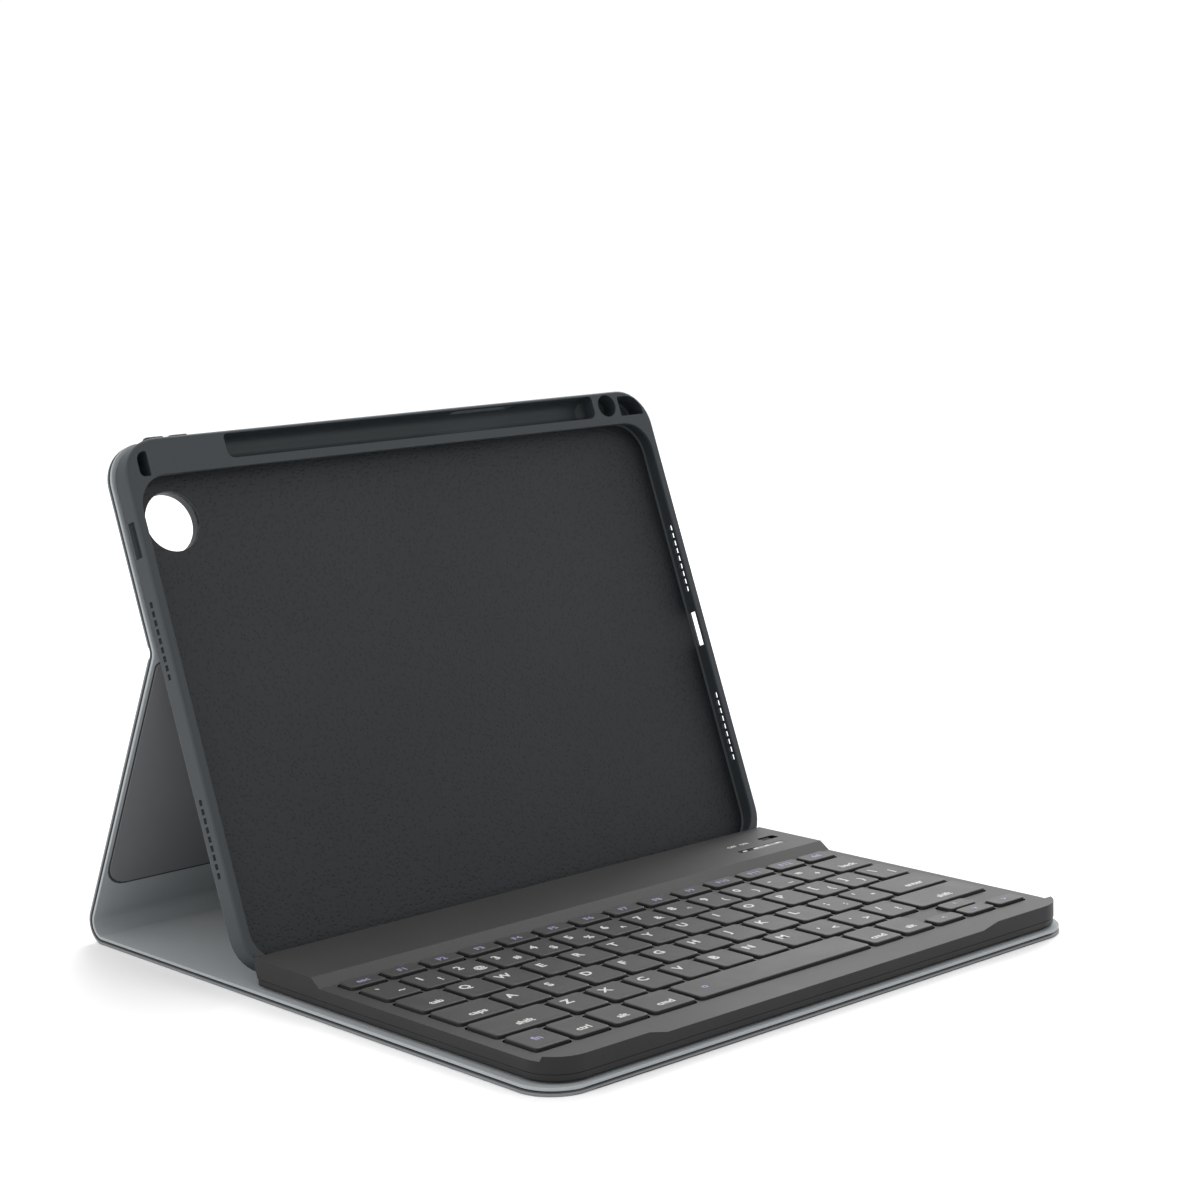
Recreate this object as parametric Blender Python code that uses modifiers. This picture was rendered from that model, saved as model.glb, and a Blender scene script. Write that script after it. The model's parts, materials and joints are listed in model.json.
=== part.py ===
"""Tablet keyboard case, standing open: a folio cover, a tablet tray and a lift-off keyboard.

Units are metres, +Z is up, +X is to the right and the case faces -Y.
The cover is a chain of flat panels: base, spine, leg and upper panel. The tray is bonded to
the upper panel, and the keyboard lies on the base in front of the tray.
"""

import math

import bmesh
import bpy
from mathutils import Vector

MM = 0.001
GAP = 0.3 * MM

# Cover panels
PANEL_HALF_WIDTH = 126.0 * MM
BASE_FRONT_Y = -130.6 * MM
BASE_DEPTH = 226.0 * MM
BASE_CORNER_RADIUS = 15.0 * MM
LEDGE_FROM_FRONT = 157.2 * MM
SPINE_WIDTH = 31.5 * MM
SKIN_THICKNESS = 0.8 * MM
BOARD_THICKNESS = 1.1 * MM
LINING_THICKNESS = 0.5 * MM
PANEL_THICKNESS = SKIN_THICKNESS + BOARD_THICKNESS + LINING_THICKNESS + 2 * GAP
BOARD_INSET = 2.5 * MM
FOLD_MARGIN = 2.5 * MM
FOOT_MARGIN = 3.5 * MM

# Tray, measured in its own frame: Y runs up the tray from the fold, Z towards the screen side
TRAY_TILT = math.radians(70.0)
TRAY_BELOW_FOLD = 118.0 * MM
TABLET_WIDTH = 247.6 * MM
TABLET_HEIGHT = 178.5 * MM
TABLET_THICKNESS = 6.1 * MM
TABLET_CLEARANCE = 0.3 * MM
TRAY_WALL = 1.3 * MM
TRAY_BOTTOM_WALL = 1.8 * MM
TRAY_BACK = 1.6 * MM
TRAY_LIP = 1.5 * MM
LIP_OVERHANG = 2.2 * MM
TRAY_CORNER_RADIUS = 15.0 * MM
STYLUS_RIB = 1.2 * MM
STYLUS_TROUGH_WIDTH = 9.2 * MM
STYLUS_TROUGH_X = (-82.0 * MM, 96.0 * MM)
VOLUME_KEYS = {"volume_up_cover": -108.0 * MM, "volume_down_cover": -98.0 * MM}
VOLUME_KEY_WIDTH = 8.0 * MM
CAMERA_RADIUS = 11.0 * MM
CAMERA_INSET = 17.5 * MM

# Keyboard
KEYBOARD_HALF_WIDTH = 123.5 * MM
KEYBOARD_FRONT_MARGIN = 1.2 * MM
KEYBOARD_CORNER_RADIUS = 13.5 * MM
KEYBOARD_BOTTOM_Z = PANEL_THICKNESS + 0.6 * MM
CASE_SPLIT_HEIGHT = 2.8 * MM
DECK_Z = 10.3 * MM
PAD_Z = 12.0 * MM
LEDGE_Z = 13.3 * MM
LEDGE_DEPTH = 38.2 * MM
STEP_RUN = 4.5 * MM
PAD_DEPTH = 7.0 * MM
PAD_STEP_RUN = 0.8 * MM
PAD_INNER_X = 86.0 * MM
PAD_RAMP = 10.0 * MM
CASE_WALL = 1.6 * MM
CASE_PLATE = 1.2 * MM

# Keys: widths in key units, from left to right
KEY_UNIT = 16.6 * MM
KEY_GAP = 2.0 * MM
KEY_CLEARANCE = 0.5 * MM
KEY_TOP_Z = 11.5 * MM
KEY_BOTTOM_Z = 8.3 * MM
KEY_WEB_THICKNESS = 0.4 * MM
KEY_CORNER_RADIUS = 1.6 * MM
KEY_TOP_CHAMFER = 0.3 * MM
ROW_UNITS = 14.25
FUNCTION_ROW_DEPTH = 8.6 * MM
FUNCTION_ROW_GAP = 2.9 * MM
ROW_DEPTH = 16.4 * MM
ROW_PITCH = 18.4 * MM
FUNCTION_UNIT = ROW_UNITS / 14
FUNCTION_ROW = [("escape_key", FUNCTION_UNIT)] + [("function_keys", FUNCTION_UNIT)] * 13
LETTER_ROWS = [
    [("number_keys", 1.0)] * 13 + [("backspace_key", 1.25)],
    [("tab_key", 1.25)] + [("upper_letter_keys", 1.0)] * 13,
    [("caps_lock_key", 1.5)] + [("home_letter_keys", 1.0)] * 11 + [("enter_key", 1.75)],
    [("left_shift_key", 2.0)] + [("lower_letter_keys", 1.0)] * 10 + [("right_shift_key", 2.25)],
]
BOTTOM_ROW = [
    ("function_lock_key", 1.0),
    ("control_key", 1.0),
    ("left_option_key", 1.0),
    ("left_command_key", 1.25),
    ("space_bar", 5.0),
    ("right_command_key", 1.0),
    ("right_option_key", 1.0),
    ("arrow_left_key", 1.0),
    ("arrow_up_key", 1.0),
    ("arrow_right_key", 1.0),
]

# Colours, as linear RGB
COVER_GREY = (0.050, 0.058, 0.062)
LINING_GREY = (0.130, 0.138, 0.145)
BOARD_GREY = (0.300, 0.290, 0.270)
TRAY_GREY = (0.045, 0.050, 0.054)
DECK_GREY = (0.060, 0.060, 0.060)
KEY_GREY = (0.070, 0.070, 0.070)
STEEL = (0.560, 0.570, 0.580)

PARTS_COLLECTION = "tablet_keyboard_case"
CUTTERS_COLLECTION = "cutters"


# ---------------------------------------------------------------- scene and materials

def clear_scene():
    """Remove every object and make the two collections."""
    for obj in list(bpy.data.objects):
        bpy.data.objects.remove(obj, do_unlink=True)
    for name in (PARTS_COLLECTION, CUTTERS_COLLECTION):
        collection = bpy.data.collections.new(name)
        bpy.context.scene.collection.children.link(collection)


def material(name, colour, roughness, metallic=0.0):
    """Return a Principled material for one part."""
    mat = bpy.data.materials.new(name)
    mat.use_nodes = True
    shader = mat.node_tree.nodes["Principled BSDF"]
    shader.inputs["Base Color"].default_value = (*colour, 1.0)
    shader.inputs["Roughness"].default_value = roughness
    shader.inputs["Metallic"].default_value = metallic
    return mat


def empty(name, location, angle=0.0, parent=None):
    """Add an empty on a joint axis, turned about X by angle."""
    obj = bpy.data.objects.new(name, None)
    obj.location = location
    obj.rotation_euler = (angle, 0.0, 0.0)
    obj.parent = parent
    bpy.data.collections[PARTS_COLLECTION].objects.link(obj)
    return obj


def add_object(name, mesh, location, look=None, parent=None):
    """Link a mesh as a part, or as a hidden cutter where it has no look."""
    obj = bpy.data.objects.new(name, mesh)
    obj.location = location
    obj.parent = parent
    if look is None:
        bpy.data.collections[CUTTERS_COLLECTION].objects.link(obj)
        obj.hide_render = True
        obj.display_type = "WIRE"
    else:
        bpy.data.collections[PARTS_COLLECTION].objects.link(obj)
        colour, roughness, metallic = look
        mesh.materials.append(material(name, colour, roughness, metallic))
    return obj


# ---------------------------------------------------------------- shapes

def cube_into(bm, x, y, z, radius=0.0, rounded="all", segments=4):
    """Add a box to bm between the (low, high) pairs, with its upright edges rounded.

    rounded says which upright edges: all, or the ones at the low or the high end of Y.
    """
    centre = Vector(((x[0] + x[1]) / 2, (y[0] + y[1]) / 2, (z[0] + z[1]) / 2))
    size = (x[1] - x[0], y[1] - y[0], z[1] - z[0])
    made = bmesh.ops.create_cube(bm, size=1.0)["verts"]
    bmesh.ops.scale(bm, vec=size, verts=made)
    bmesh.ops.translate(bm, vec=centre, verts=made)
    if radius <= 0.0:
        return
    upright = []
    for edge in {edge for vert in made for edge in vert.link_edges}:
        first, second = (vert.co for vert in edge.verts)
        if abs(first.z - second.z) < size[2] / 2:
            continue
        at_low_end = first.y < centre.y
        if rounded == "all" or (rounded == "low") == at_low_end:
            upright.append(edge)
    bmesh.ops.bevel(
        bm, geom=upright, offset=radius, segments=segments, profile=0.5, affect="EDGES"
    )


def mesh_about(bm, name, centre):
    """Turn bm into a mesh whose origin is at centre."""
    bmesh.ops.translate(bm, vec=-Vector(centre), verts=bm.verts)
    bmesh.ops.recalc_face_normals(bm, faces=bm.faces)
    mesh = bpy.data.meshes.new(name)
    bm.to_mesh(mesh)
    bm.free()
    return mesh


def slab(name, x, y, z, look=None, parent=None, radius=0.0, rounded="all", segments=4):
    """A box part or cutter with rounded upright edges, origin at its middle."""
    bm = bmesh.new()
    cube_into(bm, x, y, z, radius, rounded, segments)
    centre = [sum(pair) / 2 for pair in (x, y, z)]
    return add_object(name, mesh_about(bm, name, centre), centre, look, parent)


def slabs(name, boxes, parent=None, radius=0.0, segments=2):
    """One cutter made of several separate boxes."""
    bm = bmesh.new()
    for x, y, z in boxes:
        cube_into(bm, x, y, z, radius, "all", segments)
    return add_object(name, mesh_about(bm, name, (0, 0, 0)), (0, 0, 0), None, parent)


def prism(name, outline, along, span, look=None, parent=None):
    """An outline extruded along X or Y. Its points are (y, z) or (x, z) pairs."""
    bm = bmesh.new()
    verts = []
    for across, up in outline:
        point = (span[0], across, up) if along == "X" else (across, span[0], up)
        verts.append(bm.verts.new(point))
    cap = bm.faces.new(verts)
    made = bmesh.ops.extrude_face_region(bm, geom=[cap])["geom"]
    length = span[1] - span[0]
    step = (length, 0, 0) if along == "X" else (0, length, 0)
    moved = [item for item in made if isinstance(item, bmesh.types.BMVert)]
    bmesh.ops.translate(bm, vec=step, verts=moved)
    return add_object(name, mesh_about(bm, name, (0, 0, 0)), (0, 0, 0), look, parent)


def upright_cylinder(name, x, y, z, radius, look=None, parent=None, segments=32):
    """A cylinder along Z, origin at its middle."""
    bm = bmesh.new()
    bmesh.ops.create_cone(
        bm, cap_ends=True, segments=segments, radius1=radius, radius2=radius, depth=z[1] - z[0]
    )
    centre = (x, y, (z[0] + z[1]) / 2)
    return add_object(name, mesh_about(bm, name, (0, 0, 0)), centre, look, parent)


def boolean(obj, other, operation="DIFFERENCE"):
    """Cut obj with another mesh object, or join the two."""
    modifier = obj.modifiers.new(other.name, "BOOLEAN")
    modifier.operation = operation
    modifier.solver = "EXACT"
    modifier.object = other


def grown(pair, amount):
    """Widen a (low, high) pair by amount at both ends."""
    return (pair[0] - amount, pair[1] + amount)


# ---------------------------------------------------------------- where the panels go

# The base panel lies flat, and its layers are counted up from the table.
SKIN_Z = (0.0, SKIN_THICKNESS)
BOARD_Z = (SKIN_Z[1] + GAP, SKIN_Z[1] + GAP + BOARD_THICKNESS)
LINING_Z = (BOARD_Z[1] + GAP, PANEL_THICKNESS)
HALF_PANEL = PANEL_THICKNESS / 2
BASE_REAR_Y = BASE_FRONT_Y + BASE_DEPTH
LEG_AXIS_Y = BASE_REAR_Y + GAP + SPINE_WIDTH + FOOT_MARGIN

# The tray's lowest edge stands on the lining. Its fold is found by going up its back.
TRAY_DEPTH = TRAY_BACK + TABLET_THICKNESS + 2 * TABLET_CLEARANCE + TRAY_LIP
TRAY_Z0 = HALF_PANEL + GAP
TRAY_Z1 = TRAY_Z0 + TRAY_DEPTH
TRAY_Y0 = -TRAY_BELOW_FOLD
LEDGE_REAR_Y = BASE_FRONT_Y + LEDGE_FROM_FRONT
TRAY_REAR_FOOT_Y = LEDGE_REAR_Y + 7.0 * MM
UP_TRAY = Vector((0, math.cos(TRAY_TILT), math.sin(TRAY_TILT)))
OUT_OF_TRAY = Vector((0, -math.sin(TRAY_TILT), math.cos(TRAY_TILT)))
TRAY_FOOT = Vector((0, TRAY_REAR_FOOT_Y, PANEL_THICKNESS + GAP))
FOLD_AXIS = TRAY_FOOT + UP_TRAY * TRAY_BELOW_FOLD - OUT_OF_TRAY * TRAY_Z0
LEG_AXIS = Vector((0, LEG_AXIS_Y, HALF_PANEL))
LEG_LENGTH = (FOLD_AXIS - LEG_AXIS).length
LEG_ANGLE = math.atan2(FOLD_AXIS.z - LEG_AXIS.z, FOLD_AXIS.y - LEG_AXIS.y)

TABLET_Y0 = TRAY_Y0 + TRAY_BOTTOM_WALL
TABLET_Y1 = TABLET_Y0 + TABLET_HEIGHT + 2 * TABLET_CLEARANCE
TABLET_HALF_WIDTH = TABLET_WIDTH / 2 + TABLET_CLEARANCE
TRAY_HALF_WIDTH = TABLET_HALF_WIDTH + TRAY_WALL
TROUGH_Y = (TABLET_Y1 + STYLUS_RIB, TABLET_Y1 + STYLUS_RIB + STYLUS_TROUGH_WIDTH)
TRAY_Y1 = TROUGH_Y[1] + TRAY_WALL
CAMERA_X = -TABLET_WIDTH / 2 + CAMERA_INSET
CAMERA_Y = TABLET_Y1 - CAMERA_INSET

KEYBOARD_Y0 = BASE_FRONT_Y + KEYBOARD_FRONT_MARGIN
LEDGE_FRONT_Y = LEDGE_REAR_Y - LEDGE_DEPTH
SPLIT_Z = KEYBOARD_BOTTOM_Z + CASE_SPLIT_HEIGHT
LEDGE_SLOPE = math.tan(math.pi / 2 - TRAY_TILT)
CASE_REAR_Y = LEDGE_REAR_Y - LEDGE_SLOPE * (LEDGE_Z - SPLIT_Z)
FLOOR_TOP_Z = KEYBOARD_BOTTOM_Z + 1.2 * MM
CAVITY_Y = (KEYBOARD_Y0 + CASE_WALL, CASE_REAR_Y - 3.0 * MM)
KEYS_LEFT_X = -ROW_UNITS * KEY_UNIT / 2
FUNCTION_ROW_Y1 = LEDGE_FRONT_Y - 1.5 * MM
FIRST_ROW_Y1 = FUNCTION_ROW_Y1 - FUNCTION_ROW_DEPTH - FUNCTION_ROW_GAP
BOTTOM_ROW_Y1 = FIRST_ROW_Y1 - 4 * ROW_PITCH

COVER_LOOK = (COVER_GREY, 0.62, 0.0)
LINING_LOOK = (LINING_GREY, 0.75, 0.0)
BOARD_LOOK = (BOARD_GREY, 0.85, 0.0)
TRAY_LOOK = (TRAY_GREY, 0.55, 0.0)
DECK_LOOK = (DECK_GREY, 0.48, 0.0)
KEY_LOOK = (KEY_GREY, 0.50, 0.0)
STEEL_LOOK = (STEEL, 0.35, 1.0)


# ---------------------------------------------------------------- the cover

def make_base():
    """Base panel: outer skin, board with two magnets let into it, and lining."""
    x = (-PANEL_HALF_WIDTH, PANEL_HALF_WIDTH)
    y = (BASE_FRONT_Y, BASE_REAR_Y)
    rounding = {"radius": BASE_CORNER_RADIUS, "rounded": "low", "segments": 6}
    slab("base_skin", x, y, SKIN_Z, COVER_LOOK, **rounding)
    slab("base_lining", x, y, LINING_Z, LINING_LOOK, **rounding)
    board_y = (y[0] + BOARD_INSET, y[1])
    board = slab("base_board", grown(x, -BOARD_INSET), board_y, BOARD_Z, BOARD_LOOK, **rounding)
    magnet_y = (KEYBOARD_Y0 + 25 * MM, KEYBOARD_Y0 + 35 * MM)
    pockets = []
    for side, centre_x in (("left", -70 * MM), ("right", 70 * MM)):
        magnet_x = (centre_x - 20 * MM, centre_x + 20 * MM)
        slab("base_magnet_" + side, magnet_x, magnet_y, BOARD_Z, STEEL_LOOK)
        pockets.append((grown(magnet_x, GAP), grown(magnet_y, GAP), grown(BOARD_Z, MM)))
    boolean(board, slabs("base_magnet_pockets", pockets))


def make_spine():
    """Flexible spine between the base and the leg: outer skin and lining."""
    x = (-PANEL_HALF_WIDTH, PANEL_HALF_WIDTH)
    y = (BASE_REAR_Y + GAP, BASE_REAR_Y + GAP + SPINE_WIDTH)
    slab("spine_skin", x, y, SKIN_Z, COVER_LOOK)
    slab("spine_lining", x, y, (SKIN_Z[1] + GAP, PANEL_THICKNESS), LINING_LOOK)


def make_leg(parent):
    """Rear leg panel, in its own frame: Y runs from the foot up to the fold."""
    x = (-PANEL_HALF_WIDTH, PANEL_HALF_WIDTH)
    y = (FOOT_MARGIN, LEG_LENGTH - FOLD_MARGIN)
    lift = -HALF_PANEL
    skin_z = (SKIN_Z[0] + lift, SKIN_Z[1] + lift)
    board_z = (BOARD_Z[0] + lift, BOARD_Z[1] + lift)
    lining_z = (LINING_Z[0] + lift, LINING_Z[1] + lift)
    inset = grown(y, -BOARD_INSET)
    rounding = {"radius": 7 * MM, "rounded": "low"}
    slab("leg_skin", x, y, skin_z, COVER_LOOK, parent)
    slab("leg_lining", x, y, lining_z, LINING_LOOK, parent)
    slab("leg_board", grown(x, -BOARD_INSET), inset, board_z, BOARD_LOOK, parent, **rounding)


def make_upper_panel(parent):
    """Upper panel bonded to the tray's back, with the camera opening."""
    x = (-PANEL_HALF_WIDTH, PANEL_HALF_WIDTH)
    y = (FOLD_MARGIN, TRAY_Y1 + 0.8 * MM)
    skin_z = (-HALF_PANEL, -HALF_PANEL + SKIN_THICKNESS)
    board_z = (skin_z[1] + GAP, HALF_PANEL)
    rounding = {"radius": TRAY_CORNER_RADIUS, "rounded": "high", "segments": 6}
    skin = slab("upper_skin", x, y, skin_z, COVER_LOOK, parent, **rounding)
    board_x = grown(x, -BOARD_INSET / 2)
    board_y = (y[0] + BOARD_INSET, y[1] - BOARD_INSET / 2)
    board = slab("upper_board", board_x, board_y, board_z, BOARD_LOOK, parent, **rounding)
    camera_z = (-HALF_PANEL - MM, TRAY_Z0 + TRAY_BACK + MM / 2)
    camera = upright_cylinder(
        "camera_opening", CAMERA_X, CAMERA_Y, camera_z, CAMERA_RADIUS, None, parent
    )
    boolean(skin, camera)
    boolean(board, camera)
    return camera


# ---------------------------------------------------------------- the tray

def make_tray(parent, camera):
    """Soft tray that holds the tablet, with the stylus trough along its top."""
    x = (-TRAY_HALF_WIDTH, TRAY_HALF_WIDTH)
    tray = slab(
        "tablet_tray", x, (TRAY_Y0, TRAY_Y1), (TRAY_Z0, TRAY_Z1), TRAY_LOOK, parent,
        radius=TRAY_CORNER_RADIUS, segments=6,
    )
    above = TRAY_Z1 + MM
    pocket_x = (-TABLET_HALF_WIDTH, TABLET_HALF_WIDTH)
    pocket_y = (TABLET_Y0, TABLET_Y1)
    pocket_z = (TRAY_Z0 + TRAY_BACK, TRAY_Z1 - TRAY_LIP)
    pocket = slab(
        "tablet_pocket", pocket_x, pocket_y, pocket_z, None, parent,
        radius=TRAY_CORNER_RADIUS - TRAY_WALL, segments=6,
    )
    opening = slab(
        "screen_opening", grown(pocket_x, -LIP_OVERHANG), grown(pocket_y, -LIP_OVERHANG),
        (pocket_z[1] - MM, above), None, parent, radius=12 * MM, segments=6,
    )
    trough_z = (TRAY_Z0 + 1.2 * MM, above)
    trough = slab("stylus_trough", STYLUS_TROUGH_X, TROUGH_Y, trough_z, None, parent)
    window_y = (TROUGH_Y[1] - MM, TRAY_Y1 + MM)
    window_z = (TRAY_Z0 + 4.0 * MM, TRAY_Z0 + 7.5 * MM)
    window = slab("stylus_window", (27 * MM, 56 * MM), window_y, window_z, None, parent)
    hole_y = (TROUGH_Y[0] + TROUGH_Y[1]) / 2
    round_pocket = upright_cylinder(
        "cap_pocket", 103.5 * MM, hole_y, (TRAY_Z0 + 3 * MM, above), 3.8 * MM, None, parent, 16
    )
    corner_pockets = slabs(
        "corner_pockets",
        [
            ((110.5 * MM, 119.5 * MM), (TROUGH_Y[0], TROUGH_Y[0] + 5.5 * MM), trough_z),
            ((-118.5 * MM, -114.5 * MM), (TROUGH_Y[0] - 2 * MM, TROUGH_Y[0] + 5 * MM), trough_z),
        ],
        parent,
    )
    for cutter in (pocket, opening, trough, window, round_pocket, corner_pockets, camera):
        boolean(tray, cutter)
    boolean(tray, tray_side_openings(parent))
    boolean(tray, make_volume_covers(parent))
    return tray


def tray_side_openings(parent):
    """Cutter for the speaker slots, the power key and the charging port."""
    middle_z = TRAY_Z0 + TRAY_BACK + TABLET_CLEARANCE + TABLET_THICKNESS / 2
    slot_z = grown((middle_z, middle_z), 1.0 * MM)
    inner = TABLET_HALF_WIDTH - MM
    outer = TRAY_HALF_WIDTH + MM
    boxes = []
    for side in (-1, 1):
        wall = tuple(sorted((side * inner, side * outer)))
        for first in (TRAY_Y0 + 36 * MM, TRAY_Y0 + 107 * MM):
            for step in range(5):
                low = first + step * 6 * MM
                boxes.append((wall, (low, low + 4 * MM), slot_z))
    middle_y = (TABLET_Y0 + TABLET_Y1) / 2
    right_wall = (inner, outer)
    left_wall = (-outer, -inner)
    boxes.append((right_wall, grown((middle_y, middle_y), 7 * MM), grown(slot_z, 1.5 * MM)))
    boxes.append((left_wall, (TABLET_Y1 - 30 * MM, TABLET_Y1 - 17 * MM), grown(slot_z, MM)))
    return slabs("tray_side_openings", boxes, parent)


def make_volume_covers(parent):
    """Two plungers that pass a press from the tray's top edge to the tablet's volume keys.

    Returns the cutter for the holes that they slide in.
    """
    middle_z = TRAY_Z0 + TRAY_DEPTH / 2
    z = grown((middle_z, middle_z), 1.6 * MM)
    y = (TABLET_Y1 + 0.7 * MM, TRAY_Y1 + 0.8 * MM)
    holes = []
    for name, centre_x in VOLUME_KEYS.items():
        x = grown((centre_x, centre_x), VOLUME_KEY_WIDTH / 2)
        slab(name, x, y, z, TRAY_LOOK, parent)
        holes.append((grown(x, GAP), (TABLET_Y1 - MM, TRAY_Y1 + 2 * MM), grown(z, GAP)))
    return slabs("volume_holes", holes, parent)


# ---------------------------------------------------------------- the keyboard

def make_keyboard_case(parent):
    """Upper and lower halves of the keyboard's case."""
    x = (-KEYBOARD_HALF_WIDTH, KEYBOARD_HALF_WIDTH)
    y = (KEYBOARD_Y0, LEDGE_REAR_Y)
    rounding = {"radius": KEYBOARD_CORNER_RADIUS, "rounded": "low", "segments": 6}
    inner = {"radius": KEYBOARD_CORNER_RADIUS - CASE_WALL, "rounded": "low", "segments": 6}
    bottom_z = (KEYBOARD_BOTTOM_Z, SPLIT_Z - GAP)
    bottom_y = (KEYBOARD_Y0, CASE_REAR_Y)
    bottom = slab("keyboard_bottom_case", x, bottom_y, bottom_z, DECK_LOOK, parent, **rounding)
    cavity_x = grown(x, -CASE_WALL)
    lower_cavity = slab(
        "lower_cavity", cavity_x, CAVITY_Y, (FLOOR_TOP_Z, SPLIT_Z), None, parent, **inner
    )
    boolean(bottom, lower_cavity)

    top = slab("keyboard_top_case", x, y, (SPLIT_Z, LEDGE_Z), DECK_LOOK, parent, **rounding)
    beyond = LEDGE_Z + MM
    pad_y = KEYBOARD_Y0 + PAD_DEPTH
    step_slope = STEP_RUN / (LEDGE_Z - DECK_Z)
    deck_outline = [
        (LEDGE_FRONT_Y + step_slope * (beyond - DECK_Z), beyond),
        (LEDGE_FRONT_Y, DECK_Z),
        (pad_y + PAD_STEP_RUN, DECK_Z),
        (pad_y, PAD_Z),
        (KEYBOARD_Y0 - MM, PAD_Z),
        (KEYBOARD_Y0 - MM, beyond),
    ]
    span = grown(x, MM)
    notch_outline = [
        (-PAD_INNER_X, PAD_Z + MM / 2),
        (-PAD_INNER_X + PAD_RAMP, DECK_Z),
        (PAD_INNER_X - PAD_RAMP, DECK_Z),
        (PAD_INNER_X, PAD_Z + MM / 2),
    ]
    rear_outline = [
        (CASE_REAR_Y - LEDGE_SLOPE * MM, SPLIT_Z - MM),
        (LEDGE_REAR_Y + MM, SPLIT_Z - MM),
        (LEDGE_REAR_Y + MM, beyond),
        (LEDGE_REAR_Y + LEDGE_SLOPE * MM, beyond),
    ]
    boolean(top, prism("deck_cut", deck_outline, "X", span, None, parent))
    notch_span = (KEYBOARD_Y0 - MM, pad_y + PAD_STEP_RUN)
    boolean(top, prism("thumb_notch", notch_outline, "Y", notch_span, None, parent))
    boolean(top, prism("ledge_rear_slope", rear_outline, "X", span, None, parent))
    plate_under_z = DECK_Z - CASE_PLATE
    under_deck = (SPLIT_Z - MM, plate_under_z)
    upper_cavity = slab("deck_cavity", cavity_x, CAVITY_Y, under_deck, None, parent, **inner)
    boolean(top, upper_cavity)
    ledge_cavity_y = (LEDGE_FRONT_Y + STEP_RUN + 0.5 * MM, CAVITY_Y[1])
    ledge_z = (plate_under_z - MM, LEDGE_Z - CASE_PLATE)
    boolean(top, slab("ledge_cavity", cavity_x, ledge_cavity_y, ledge_z, None, parent))
    return top, bottom


def key_spans(row, y):
    """Yield (node name, x pair, y pair) for each key of a row."""
    left = KEYS_LEFT_X
    for name, units in row:
        right = left + units * KEY_UNIT
        yield name, (left + KEY_GAP / 2, right - KEY_GAP / 2), y
        left = right


def key_layout():
    """Group every key's footprint by the node that it belongs to."""
    rows = [(FUNCTION_ROW, (FUNCTION_ROW_Y1 - FUNCTION_ROW_DEPTH, FUNCTION_ROW_Y1))]
    for index, row in enumerate(LETTER_ROWS):
        high = FIRST_ROW_Y1 - index * ROW_PITCH
        rows.append((row, (high - ROW_DEPTH, high)))
    rows.append((BOTTOM_ROW, (BOTTOM_ROW_Y1 - ROW_DEPTH, BOTTOM_ROW_Y1)))
    layout = {}
    for row, y in rows:
        for name, x, key_y in key_spans(row, y):
            layout.setdefault(name, []).append((x, key_y))
    split_arrow_keys(layout)
    return layout


def split_arrow_keys(layout):
    """Make the arrow keys half height: up behind down, left and right in front."""
    low, high = layout["arrow_up_key"][0][1]
    middle = (low + high) / 2
    front = (low, middle - KEY_GAP / 4)
    behind = (middle + KEY_GAP / 4, high)
    up_x = layout["arrow_up_key"][0][0]
    layout["arrow_up_key"] = [(up_x, behind)]
    layout["arrow_down_key"] = [(up_x, front)]
    for name in ("arrow_left_key", "arrow_right_key"):
        layout[name] = [(layout[name][0][0], front)]


def make_keys(parent, top):
    """Key caps in the holes of the top case. Keys that share a node stand on one thin web."""
    holes = []
    for name, footprints in key_layout().items():
        x = (min(pair[0][0] for pair in footprints), max(pair[0][1] for pair in footprints))
        y = footprints[0][1]
        web_z = (KEY_BOTTOM_Z, KEY_BOTTOM_Z + KEY_WEB_THICKNESS)
        rim = 0.25 * MM
        key = slab(name, grown(x, rim), grown(y, rim), web_z, KEY_LOOK, parent)
        bm = bmesh.new()
        for cap_x, cap_y in footprints:
            cap_z = (KEY_BOTTOM_Z + KEY_WEB_THICKNESS / 2, KEY_TOP_Z)
            cube_into(bm, cap_x, cap_y, cap_z, KEY_CORNER_RADIUS, "all", 2)
        chamfer_tops(bm)
        caps = add_object(name + "_caps", mesh_about(bm, name, (0, 0, 0)), (0, 0, 0), None, parent)
        boolean(key, caps, "UNION")
        hole_z = (DECK_Z - CASE_PLATE - MM, DECK_Z + 5 * MM)
        for cap_x, cap_y in footprints:
            holes.append((grown(cap_x, KEY_CLEARANCE), grown(cap_y, KEY_CLEARANCE), hole_z))
    merged = merge_arrow_holes(holes)
    boolean(top, slabs("key_holes", merged, parent, KEY_CORNER_RADIUS))


def chamfer_tops(bm):
    """Break the edges around the caps' top faces."""
    rims = []
    for edge in bm.edges:
        at_top = all(vert.co.z > KEY_TOP_Z - MM / 10 for vert in edge.verts)
        if at_top and len(edge.link_faces) == 2 and edge.calc_face_angle(0) > 1.0:
            rims.append(edge)
    bmesh.ops.bevel(
        bm, geom=rims, offset=KEY_TOP_CHAMFER, segments=1, profile=0.5, affect="EDGES"
    )


def merge_arrow_holes(holes):
    """Join the holes of the stacked arrow keys, which are too close for a rib between them."""
    merged = []
    for x, y, z in holes:
        for index, (other_x, other_y, _) in enumerate(merged):
            if x == other_x and y[0] < other_y[1] and other_y[0] < y[1]:
                merged[index] = (x, (min(y[0], other_y[0]), max(y[1], other_y[1])), z)
                break
        else:
            merged.append((x, y, z))
    return merged


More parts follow.
